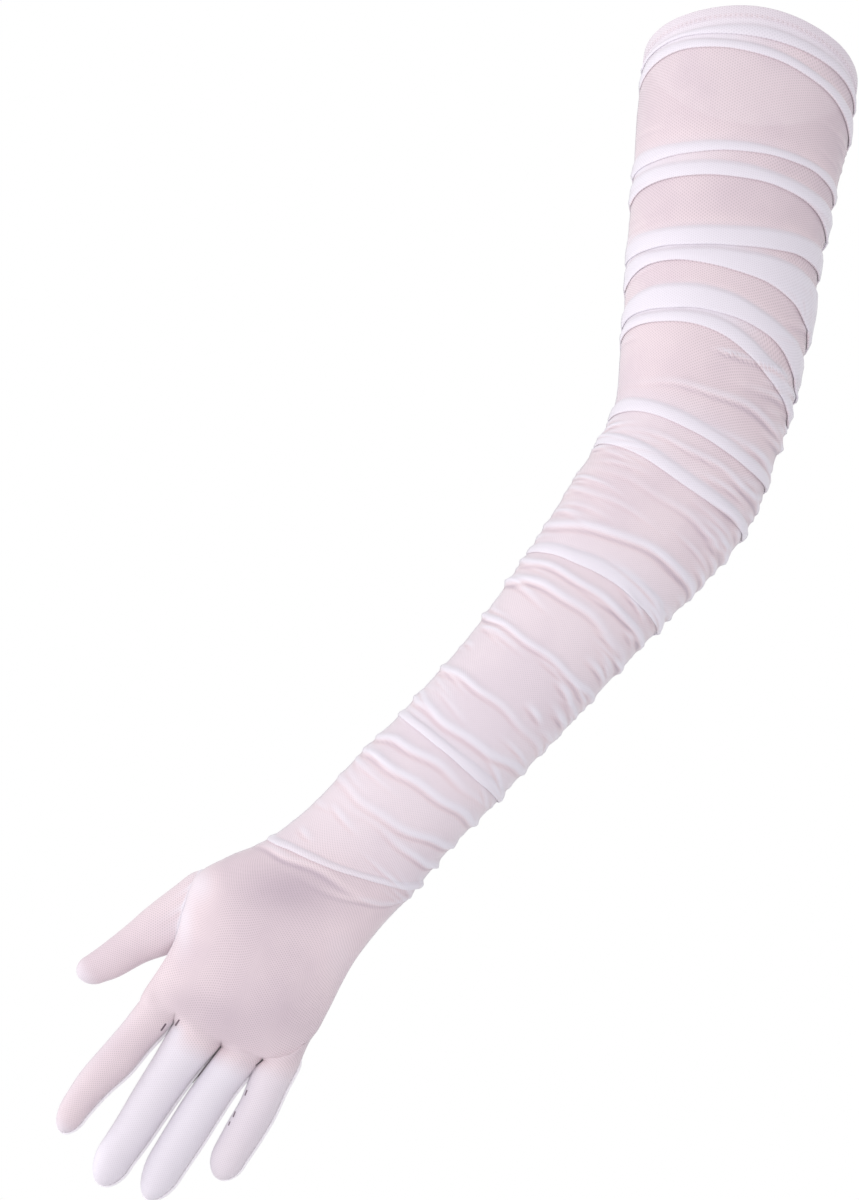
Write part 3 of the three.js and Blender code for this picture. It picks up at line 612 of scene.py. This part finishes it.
def panelPiece(name, side, material):
    # one half of the glove: sleeve and hand as a mapped grid, then the four fingers grown from it
    form = sleeveForm
    columns = 4 * fingerForm["columns"]
    even = np.linspace(0, 180, columns + 1)
    target = [fingerRings(i, side)[0][0] for i in range(4)]
    target = np.concatenate([target[0], *[ring[1:] for ring in target[1:]]])
    ends, across, _ = handPlaces(target)
    webs = np.degrees(np.arccos(np.clip(-across, -1, 1)))
    # the outermost columns end on the side seams, so that the two halves meet there
    fromEdge = np.arange(columns + 1) / fingerForm["columns"]
    webs = webs - webs[0] * ease(1 - fromEdge) + (180 - webs[-1]) * ease(1 - fromEdge[::-1])
    turn = (lambda a: a) if side > 0 else (lambda a: (360 - a) % 360)
    start = ends - form["handTurn"]
    distance, lift, tone = sleeveRows(turn(even), start)
    share = ease((distance - form["parting"]) / (start - form["parting"]))
    degrees = even * (1 - share) + webs * share
    fade = 1 - ease((distance - form["parting"]) / form["fade"])
    height, pale = wrinkles(distance, turn(degrees))
    seam = np.exp(-(np.minimum(degrees, 180 - degrees) / form["seamReach"]) ** 2)
    height = lift + (height + form["seam"] * seam) * fade
    # painted light and shade along the glove
    plain = smoothValue(*zip(*form["paintedLightAlong"]), np.clip(distance, 0, palmEnd))
    # painted shade on the right side of the sleeve near the cuff
    rightShade = form["rightShade"]
    right = np.exp(-((turn(degrees) - rightShade["side"]) / rightShade["spread"]) ** 2)
    right *= rightShade["tone"] * (1 - ease(distance / rightShade["end"]))
    tone = tone + pale * fade + 0.8 * seam + (plain - right) * (1 - np.abs(tone))
    points = tubePoints(distance, turn(degrees), height - gloveForm["net"] / 2)
    last = tubePoints(ends, turn(webs), 0.0)
    closing = []
    crotch = form["crotch"] * (1 - np.exp(-(np.minimum(webs, 180 - webs) / form["edge"]) ** 2))
    steps = form["closingRows"]
    for k in range(1, steps + 1):
        t = k / steps
        here = tubePoints(start + form["handTurn"] * t, turn(webs), -gloveForm["net"] / 2 * (1 - t))
        closing.append(here + (target - last) * ease((t - crotch) / (1 - crotch))[:, None])
    points = np.concatenate([points, np.array(closing)])
    tone = np.concatenate([tone, np.zeros((steps, columns + 1))])
    # gathered white at the webs, painted shade over the knuckles and the top and right of the hand
    if side > 0:
        tone += patchTone(points)
    gap = np.linalg.norm(np.diff(points, axis=0), axis=2).mean(axis=1)
    along = np.concatenate([[0.0], np.cumsum(gap)])
    bm = newNet()
    toneLayer = bm.verts.layers.float["gatherAndPaintedLight"]
    flat = {}
    flatColumns = form["flatWidth"] * np.arange(columns + 1) / columns
    lastRow = netGrid(bm, points, tone, flatColumns, along[:, None], flat)[-(columns + 1):]
    for number in range(4):
        rings, at = fingerRings(number, side)
        first = number * fingerForm["columns"]
        chain = lastRow[first:first + fingerForm["columns"] + 1]
        for k in range(1, len(at)):
            base = chain
            chain = growStrip(bm, base, rings[k] * mm)
            for old, vert in zip(base, chain):
                flat[vert] = (flat[old][0], flat[old][1] + float(at[k] - at[k - 1]))
                turned = (len(chain) - 1 - chain.index(vert)) / (len(chain) - 1)
                # painted light on the left side of each finger
                plain = fingerForm["tones"][number] + fingerForm["paintedLeftLight"] * turned ** 6
                plain *= 1.0 if side > 0 else fingerForm["palmShare"]
                closed = ease((at[k] - at[-1] + fingerForm["tipReach"]) / fingerForm["tipReach"])
                plain *= ease(at[k] / fingerForm["rootReach"])
                plain = np.maximum(plain, fingerForm["tipTone"] * closed)
                if side > 0:
                    plain += patchTone(np.array(vert.co) / mm)
                vert[toneLayer] = float(np.clip(plain, -1, 1))
    layFlat(bm, flat)
    cutThumbHole(bm)
    tips = [vert for vert in bm.verts if vert.co.z < fingerForm["tipsBelow"] * mm]
    bmesh.ops.remove_doubles(bm, verts=tips, dist=1e-6)
    return newPiece(name, bm, material)


class Wire:
    # an output socket that can be used in sums
    def __init__(self, shader, socket):
        self.shader = shader
        self.socket = socket

    def __add__(self, other):
        return self.shader.sum("ADD", self, other)

    def __radd__(self, other):
        return self.shader.sum("ADD", other, self)

    def __sub__(self, other):
        return self.shader.sum("SUBTRACT", self, other)

    def __rsub__(self, other):
        return self.shader.sum("SUBTRACT", other, self)

    def __mul__(self, other):
        return self.shader.sum("MULTIPLY", self, other)

    def __rmul__(self, other):
        return self.shader.sum("MULTIPLY", other, self)


class Shader:
    # one material's node tree, with one method that makes any node
    def __init__(self, name):
        self.material = bpy.data.materials.new(name)
        self.material.use_nodes = True
        self.tree = self.material.node_tree
        self.tree.nodes.clear()

    def node(self, kind, settings=None, inputs=None):
        made = self.tree.nodes.new(kind)
        for key, value in (settings or {}).items():
            setattr(made, key, value)
        for key, value in (inputs or {}).items():
            socket = made.inputs[key]
            if isinstance(value, Wire):
                self.tree.links.new(value.socket, socket)
            else:
                socket.default_value = value
        return made

    def sum(self, operation, *values):
        made = self.node("ShaderNodeMath", {"operation": operation}, dict(enumerate(values)))
        return Wire(self, made.outputs[0])

    def wire(self, made, output=0):
        return Wire(self, made.outputs[output])

    def vector(self, operation, first, second=None, output=0):
        values = {0: first} if second is None else {0: first, 3 if operation == "SCALE" else 1: second}
        made = self.node("ShaderNodeVectorMath", {"operation": operation}, values)
        return Wire(self, made.outputs[output])

    def between(self, value, low, high, soft="SMOOTHSTEP"):
        made = self.node("ShaderNodeMapRange", {"interpolation_type": soft},
                         {"Value": value, "From Min": low, "From Max": high})
        return self.wire(made, "Result")

    def mixColour(self, factor, a, b):
        made = self.node("ShaderNodeMix", {"data_type": "RGBA"}, {0: factor, 6: a, 7: b})
        return self.wire(made, 2)

    def finish(self, surface):
        self.node("ShaderNodeOutputMaterial", None, {"Surface": self.wire(surface)})
        return self.material


netLook = {
    "pink": (0.82, 0.70, 0.735, 1),          # one layer of net
    "mauve": (0.70, 0.585, 0.645, 1),        # its cloudy darker places
    "white": (0.81, 0.775, 0.84, 1),         # gathered net, and painted light on the fingers and along the forearm
    "shade": (0.48, 0.39, 0.46, 1),          # painted shade: below a wrinkle, over the knuckles and the top of the hand, and near the cuff
    "gapShadow": (0.14, 0.09, 0.12, 1),           # painted shadow: small dark marks in the gaps where the fingers part
    "pitch": 1.05,                           # net holes, in mm
    "holeAlpha": 0.67,                       # how solid one face of the sheet is in a hole and on a thread
    "threadAlpha": 0.85,
    "gatherAlpha": 0.92,
    "gatherHoles": 0.45,                     # how much the holes still show in gathered net
    "cloudScale": 22.0,                      # size of the cloudy places, smaller when higher
    "cloudTone": 0.45,                       # and how much of the mauve they take
    "shadeTone": 0.75,                       # how much of the shade the darkest places take
    "grainScale": 420.0,                     # fine unevenness of the thread
    "bump": 0.14,
    "roughness": 0.62,
    "sheen": 0.6,
    "sheenRoughness": 0.4,
    "specular": 0.25,
    "gapShadowFront": (-77.0, -79.0),             # the painted shadow marks are on the back of the hand, between these y
    "gapShadows": (                               # ends of each painted shadow mark, as x and z in mm, and its half width
        (-266.6, -435.9, -264.7, -433.2, 0.4), (-260.2, -433.6, -258.6, -431.2, 0.4),
        (-240.4, -443.6, -252.6, -459.6, 0.32), (-221.6, -449.3, -224.5, -451.6, 0.32),
        (-228.6, -462.9, -229.4, -464.9, 0.3), (-233.9, -472.6, -234.7, -474.6, 0.3),
        (-236.2, -477.0, -236.8, -478.4, 0.25),
    ),
}


def gapShadowMask(shader, place, look):
    # 1 inside any of the painted shadow marks: the distance from each to the point, measured in x and z
    flatPlace = shader.vector("MULTIPLY", place, (1, 0, 1))
    mask = None
    for x0, z0, x1, z1, half in look["gapShadows"]:
        run = Vector((x1 - x0, 0, z1 - z0)) * mm
        offset = shader.vector("SUBTRACT", flatPlace, (x0 * mm, 0, z0 * mm))
        along = shader.vector("DOT_PRODUCT", offset, tuple(run / run.length_squared), 1)
        share = shader.between(along, 0, 1, "LINEAR")
        nearest = shader.vector("SCALE", tuple(run), share)
        away = shader.vector("LENGTH", shader.vector("SUBTRACT", offset, nearest), None, 1)
        one = 1 - shader.between(away, 0.5 * half * mm, 1.4 * half * mm)
        mask = one if mask is None else shader.sum("MAXIMUM", mask, one)
    split = shader.node("ShaderNodeSeparateXYZ", None, {0: place})
    low, high = look["gapShadowFront"]
    return mask * shader.between(shader.wire(split, 1), low * mm, high * mm)


def netMaterial(name, look):
    shader = Shader(name)
    uv = shader.node("ShaderNodeUVMap", {"uv_map": "net"})
    split = shader.node("ShaderNodeSeparateXYZ", None, {0: shader.wire(uv)})
    u, v = shader.wire(split, 0), shader.wire(split, 1)
    turn = 2 * math.pi / look["pitch"]
    third = math.pi / 3
    waves = []
    for k in range(3):
        way = u * math.cos(k * third) + v * math.sin(k * third)
        waves.append(shader.sum("COSINE", way * turn))
    hole = shader.between(waves[0] + waves[1] + waves[2], -0.3, 1.3)
    coords = shader.node("ShaderNodeTexCoord")
    place = shader.wire(coords, "Object")
    cloud = shader.node("ShaderNodeTexNoise", None,
                        {"Vector": place, "Scale": look["cloudScale"], "Detail": 3.0, "Roughness": 0.55})
    grain = shader.node("ShaderNodeTexNoise", None,
                        {"Vector": place, "Scale": look["grainScale"], "Detail": 2.0, "Roughness": 0.6})
    cloudy = shader.between(shader.wire(cloud), 0.42, 0.66)
    gatherAndPaintedLight = shader.wire(shader.node("ShaderNodeAttribute", {"attribute_name": "gatherAndPaintedLight"}), "Fac")
    # pale: gathered net and painted light; dark: painted shade
    pale = shader.between(gatherAndPaintedLight, 0.0, 1.0, "LINEAR")
    dark = shader.between(gatherAndPaintedLight, 0.0, -1.0, "LINEAR")
    tint = shader.mixColour(look["cloudTone"] * cloudy, look["pink"], look["mauve"])
    tint = shader.mixColour(look["shadeTone"] * dark, tint, look["shade"])
    tint = shader.mixColour(pale, tint, look["white"])
    # painted shadow in the gaps between the fingers, with no holes showing there
    gapShadow = gapShadowMask(shader, place, look)
    tint = shader.mixColour(gapShadow, tint, look["gapShadow"])
    opened = hole * (1 - pale * (1 - look["gatherHoles"])) * (1 - gapShadow)
    alpha = look["threadAlpha"] + pale * (look["gatherAlpha"] - look["threadAlpha"])
    alpha = alpha - opened * (look["threadAlpha"] - look["holeAlpha"])
    height = (1 - hole) * 0.5 + shader.wire(grain) * 0.8
    bump = shader.node("ShaderNodeBump", None,
                       {"Strength": look["bump"], "Distance": 0.0004, "Height": height})
    surface = shader.node("ShaderNodeBsdfPrincipled", None, {
        "Base Color": tint, "Alpha": alpha, "Normal": shader.wire(bump), "Roughness": look["roughness"],
        "Sheen Weight": look["sheen"], "Sheen Roughness": look["sheenRoughness"],
        "Specular IOR Level": look["specular"]})
    return shader.finish(surface)


def plainMaterial(name, colour, roughness):
    shader = Shader(name)
    coords = shader.node("ShaderNodeTexCoord")
    speck = shader.node("ShaderNodeTexNoise", None, {"Vector": shader.wire(coords, "Object"), "Scale": 3.0})
    tint = shader.mixColour(shader.wire(speck) * 0.1, colour, tuple(0.92 * c for c in colour[:3]) + (1,))
    surface = shader.node("ShaderNodeBsdfPrincipled", None, {"Base Color": tint, "Roughness": roughness})
    return shader.finish(surface)


threadLook = {
    "pale": (0.90, 0.86, 0.92, 1), "grey": (0.76, 0.70, 0.77, 1),
    "twist": 900.0,              # fineness of the twist
    "bump": 0.3, "roughness": 0.5,
}


def threadMaterial(look):
    # fine twisted thread, a little greyer in places
    shader = Shader("sewing thread")
    coords = shader.node("ShaderNodeTexCoord")
    twist = shader.node("ShaderNodeTexNoise", None,
                        {"Vector": shader.wire(coords, "Object"), "Scale": look["twist"]})
    tint = shader.mixColour(shader.wire(twist), look["pale"], look["grey"])
    bump = shader.node("ShaderNodeBump", None,
                       {"Strength": look["bump"], "Distance": 0.0001, "Height": shader.wire(twist)})
    surface = shader.node("ShaderNodeBsdfPrincipled", None, {
        "Base Color": tint, "Normal": shader.wire(bump), "Roughness": look["roughness"]})
    return shader.finish(surface)


def thicken(piece, thickness):
    solid = piece.modifiers.new("thickness", "SOLIDIFY")
    solid.thickness = thickness * mm
    solid.offset = 0.0
    solid.use_even_offset = False
    return piece


lengths = ("upper_arm", "elbow", "forearm", "wrist", "hand", "index", "middle", "ring", "little")
net = netMaterial("sheer net", netLook)
for name, side, half in (("back_panel", 1, "back"), ("palm_panel", -1, "palm")):
    panel = thicken(panelPiece(name, side, net), gloveForm["net"])
    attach(panel, "root")
    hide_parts(*[f"{length}_{half}" for length in lengths])
    print(name, "made:", len(panel.data.vertices), "points")


# Turned hem round the slanted opening
hemForm = {
    "columns": 112, "rows": 15,
    "proud": 0.35,               # how far its outer layer stands out from the panels
    "inside": -0.75,             # and where the inner layer lies
    "lip": 0.3,                  # how round its edge is
    "bulge": 0.12,               # how much fuller it is halfway down
    "lines": (0.74, 0.87),       # where the two rows of stitches run, as shares of the width
    "groove": 0.14,              # how deep they draw the net in
    "grooveReach": 0.04,         # half width of that groove, as a share of the width
    "tone": 0.6,                 # how pale the hem is
    "grooveTone": 0.7,           # and how much darker in a groove
    "flatColumn": 2.65,          # breadth of a column of net laid flat
    "stitch": 1.5, "gap": 0.9, "thread": 0.14,    # length and spacing of stitches, half width of thread
}


def hemPiece(material):
    form = hemForm
    columns = form["columns"]
    degrees = np.linspace(0, 360, columns + 1)
    rim = ringValue(gloveForm["rim"], degrees)
    wide = gloveForm["hemWidth"]
    shares = np.linspace(1, 0, form["rows"])
    grooves = sum(np.exp(-((shares - line) / form["grooveReach"]) ** 2) for line in form["lines"])
    outer = form["proud"] + form["bulge"] * np.sin(math.pi * shares) - form["groove"] * grooves
    tones = form["tone"] - form["grooveTone"] * grooves
    profile = [(wide, form["inside"], 0.2)]
    profile += list(zip(wide * shares[:-1], outer[:-1], tones[:-1]))
    profile += [(0.2, form["proud"], 0.5), (0.0, form["proud"] - form["lip"], 0.7),
                (0.0, form["inside"] + form["lip"], 0.7), (0.2, form["inside"], 0.5)]
    profile += [(wide * k / 7, form["inside"], 0.3) for k in range(1, 8)]
    points = np.array([tubePoints(rim + at, degrees, out + 0.0 * degrees) for at, out, _ in profile])
    along, _, tone = np.array(profile).T[:, :, None]
    bm = newNet()
    flat = {}
    netGrid(bm, points, tone, form["flatColumn"] * np.arange(columns + 1), along, flat)
    layFlat(bm, flat)
    bmesh.ops.remove_doubles(bm, verts=bm.verts, dist=1e-6)
    bmesh.ops.recalc_face_normals(bm, faces=bm.faces)
    return newPiece("hem_band", bm, material)


def addStitches(bm, path, stitch, gap, thread):
    # short rods of thread along a path, with gaps between them
    along = np.concatenate([[0.0], np.cumsum(np.linalg.norm(np.diff(path, axis=0), axis=1))])
    for start in np.arange(0.0, along[-1] - stitch, stitch + gap):
        first, last = (Vector([np.interp(at, along, path[:, i]) for i in range(3)]) * mm
                       for at in (start, start + stitch))
        run = last - first
        place = Matrix.Translation((first + last) / 2) @ run.to_track_quat("Z", "Y").to_matrix().to_4x4()
        bmesh.ops.create_cone(bm, cap_ends=True, segments=5, radius1=thread * mm, radius2=thread * mm,
                              depth=run.length, matrix=place)


hem = hemPiece(net)
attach(hem, "root")
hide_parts("hem_band")

thread = threadMaterial(threadLook)
hemThreads = bmesh.new()
around = np.linspace(0, 360, 241)
hemRim = ringValue(gloveForm["rim"], around)
for line in hemForm["lines"]:
    stitchLine = hemRim + gloveForm["hemWidth"] * line
    stitchPath = tubePoints(stitchLine, around, hemForm["proud"] - 0.02 + 0.0 * around)
    addStitches(hemThreads, stitchPath, hemForm["stitch"], hemForm["gap"], hemForm["thread"])
hemStitches = newPiece("hem_stitches", hemThreads, thread)
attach(hemStitches, "root")
print("hem made")


def thumbPiece(material):
    # each column starts where it leaves the surface of the hand
    form = thumbForm
    columns = form["columns"]
    phi = np.linspace(0, 2 * math.pi, columns + 1)
    trial = np.arange(form["root"] + 0.5, 46.0, 0.25)
    tried = thumbPoints(*np.broadcast_arrays(trial[:, None], phi[None]), 0.0)
    _, u, v = handPlaces(tried.reshape(-1, 3))
    inside = (np.hypot(u, v) < 0.99).reshape(len(trial), columns + 1)
    inside[0] = True
    rootAt = trial[len(trial) - 1 - np.argmax(inside[::-1], axis=0)]
    rootAt = rootAt[:-1]
    for _ in range(4):
        even = (np.roll(rootAt, 1) + rootAt * 2 + np.roll(rootAt, -1)) / 4
        rootAt = np.minimum(rootAt, even)
    rootAt = np.append(rootAt, rootAt[0]) - form["tuck"]
    spread = np.linspace(0, 1, form["rows"]) ** form["rowShare"]
    at = rootAt + (thumbAlong[-1] - rootAt) * spread[:, None]
    capAt = thumbAlong[-1] + thumbCap * np.sin(np.radians(capSteps[1:]))
    at = np.concatenate([at, np.broadcast_to(capAt[:, None], (len(capAt), columns + 1))])
    away = at - rootAt - form["tuck"]
    seam = np.exp(-((away - 0.6) / 0.8) ** 2)
    folds = np.sin(phi * 17 + 1.5 * np.sin(phi * 3)) * np.exp(-np.maximum(away, 0) / 5.0) * ease(away)
    near = ease(1 - (at - thumbAlong[-1]) / thumbCap)
    outward = (form["seam"] * seam + form["pucker"] * folds) * near
    points = thumbPoints(at, np.broadcast_to(phi, at.shape), outward)
    tone = 0.75 * seam + 0.55 * folds + 0.25 * np.exp(-np.maximum(away, 0) / 7.0) + 0.6 * (1 - near)
    bm = newNet()
    flat = {}
    netGrid(bm, points, tone, form["flatColumn"] * np.arange(columns + 1), at, flat)
    layFlat(bm, flat)
    bmesh.ops.remove_doubles(bm, verts=bm.verts, dist=1e-6)
    bmesh.ops.recalc_face_normals(bm, faces=bm.faces)
    return newPiece("thumb_stall", bm, material), points[form["seamColumn"]]


thumbPart, thumbSeam = thumbPiece(net)
thumb = thicken(thumbPart, gloveForm["net"])
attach(thumb, "root")
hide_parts("thumb_stall")
print("thumb made")


# Seams of the fingers: a narrow doubled strip stands out along both sides, held by small stitches
seamForm = {
    "left": 0.1, "right": 1.5,   # width of the strip on the two sides of a finger
    "taper": 6.0,                # the stretch at the webs where it narrows
    "thickness": 0.4,
    "tones": (0.6, 0.9, 1.0),    # how pale it is at the finger, halfway and at its edge
    "stitch": 1.4, "gap": 0.9, "thread": 0.12,    # length and spacing of stitches, half width of thread
}

# the doubled strip is whiter and more solid than the panels, and its white is painted brighter against the
# shade of the finger beside it
seamLook = {"white": (0.98, 0.96, 0.99, 1), "holeAlpha": 0.86, "threadAlpha": 0.95, "gatherAlpha": 0.95}


def fingerOutline(number):
    # path round one finger from web to web, the way out from it, and the width of the strip
    rings, _ = fingerRings(number, 1)
    path = np.concatenate([rings[:, 0], rings[::-1, -1][1:]])
    ahead = np.gradient(path, axis=0)
    ahead /= np.linalg.norm(ahead, axis=1, keepdims=True)
    out = np.stack([ahead[:, 2], np.zeros(len(path)), -ahead[:, 0]], -1)
    outwards = np.sign(np.dot(out[3], rings[3, 0] - rings[3, -1]))
    along = np.concatenate([[0.0], np.cumsum(np.linalg.norm(np.diff(path, axis=0), axis=1))])
    share = ease((along / along[-1] - 0.42) / 0.16)
    wide = seamForm["left"] + (seamForm["right"] - seamForm["left"]) * share
    wide = wide * ease(np.minimum(along, along[-1] - along) / seamForm["taper"])
    return path, out * outwards, wide


def fingerSeams(material):
    bm = newNet()
    flat = {}
    tone = np.array(seamForm["tones"])[:, None]
    for number in range(4):
        path, out, wide = fingerOutline(number)
        rows = np.array([path - out * 0.25, path + out * (0.5 * wide)[:, None], path + out * wide[:, None]])
        netGrid(bm, rows, tone, 1.5 * np.arange(len(path)), 0.5 * np.arange(3)[:, None], flat)
    layFlat(bm, flat)
    return newPiece("finger_seams", bm, material)


seamNet = netMaterial("seam net", {**netLook, **seamLook})
fingerSeam = thicken(fingerSeams(seamNet), seamForm["thickness"])
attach(fingerSeam, "root")

seamThreads = bmesh.new()
for finger in range(4):
    edgePath, edgeOut, edgeWide = fingerOutline(finger)
    for face in (-1, 1):
        stitchPath = edgePath + edgeOut * (0.3 * edgeWide)[:, None] + np.array([0, face * 0.24, 0])
        half = len(stitchPath) // 2
        addStitches(seamThreads, stitchPath[half:-3],
                    seamForm["stitch"], seamForm["gap"], seamForm["thread"])
addStitches(seamThreads, thumbSeam, seamForm["stitch"], seamForm["gap"], seamForm["thread"])
seamStitches = newPiece("seam_stitches", seamThreads, thread)
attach(seamStitches, "root")
print("seams made")


# Camera: 3 m away, straight on, so that 1 pixel of the 859 x 1200 picture is 0.45 mm
viewForm = {
    "lens": 200.0, "sensor": 36.0, "place": (-147.3, -3055.0, -244.5),
    "floor": (-147.3, 80.0, -600.0),    # middle of the floor, below the picture
    "floorHalf": 780.0,                 # and half its length
    "floorColour": (0.96, 0.96, 0.97, 1),
}


def addCamera():
    data = bpy.data.cameras.new("camera")
    data.lens = viewForm["lens"]
    data.sensor_fit = "VERTICAL"
    data.sensor_height = viewForm["sensor"]
    data.clip_end = 20.0
    camera = bpy.data.objects.new("camera", data)
    camera.location = [value * mm for value in viewForm["place"]]
    camera.rotation_euler = (math.pi / 2, 0, 0)
    bpy.context.scene.collection.objects.link(camera)
    bpy.context.scene.camera = camera


# Studio: name, place in metres, size, power and colour of each light, and the point they aim at
studioForm = {
    "white": 1.0,                # what the camera sees behind the glove
    "sky": 0.74,                 # what lights it from all round
    "skyColour": (0.98, 0.97, 1.0, 1),
    "lights": (
        ("key", (-2.2, -1.7, 0.3), 1.5, 19.5, (1.0, 0.97, 0.97)),
        ("side", (-2.4, 0.2, -0.1), 1.3, 18.0, (1.0, 0.99, 1.0)),
        ("fill", (0.2, -2.8, -0.9), 2.0, 25.0, (1.0, 0.98, 1.0)),
    ),
    "aim": (-0.15, -0.06, -0.25),
}


def addLight(name, place, size, power, colour):
    data = bpy.data.lights.new(name, "AREA")
    data.energy = power
    data.size = size
    data.color = colour
    light = bpy.data.objects.new(name, data)
    light.location = place
    away = np.array(place) - np.array(studioForm["aim"])
    tilt = math.acos(away[2] / np.linalg.norm(away))
    light.rotation_euler = (tilt, 0, math.atan2(away[1], away[0]) + math.pi / 2)
    bpy.context.scene.collection.objects.link(light)


def addFloor():
    bm = bmesh.new()
    bmesh.ops.create_grid(bm, x_segments=1, y_segments=1, size=viewForm["floorHalf"] * mm)
    bmesh.ops.translate(bm, verts=bm.verts, vec=Vector(viewForm["floor"]) * mm)
    floor = newPiece("floor", bm, plainMaterial("pale floor", viewForm["floorColour"], 0.9))


def addWorld():
    # the camera sees plain white, and the glove is lit by a dimmer sky
    world = bpy.data.worlds.new("studio")
    world.use_nodes = True
    nodes = world.node_tree.nodes
    links = world.node_tree.links
    nodes["Background"].inputs["Strength"].default_value = studioForm["white"]
    dim = nodes.new("ShaderNodeBackground")
    dim.inputs["Color"].default_value = studioForm["skyColour"]
    dim.inputs["Strength"].default_value = studioForm["sky"]
    nodes["Background"].inputs["Color"].default_value = (1, 1, 1, 1)
    path = nodes.new("ShaderNodeLightPath")
    mix = nodes.new("ShaderNodeMixShader")
    links.new(path.outputs["Is Camera Ray"], mix.inputs[0])
    links.new(dim.outputs[0], mix.inputs[1])
    links.new(nodes["Background"].outputs[0], mix.inputs[2])
    links.new(mix.outputs[0], nodes["World Output"].inputs["Surface"])
    bpy.context.scene.world = world


addCamera()
addFloor()
addWorld()
for light in studioForm["lights"]:
    addLight(*light)
bpy.context.scene.view_settings.view_transform = "Standard"
bpy.context.scene.cycles.transparent_max_bounces = 48
print("camera, floor and lights set")
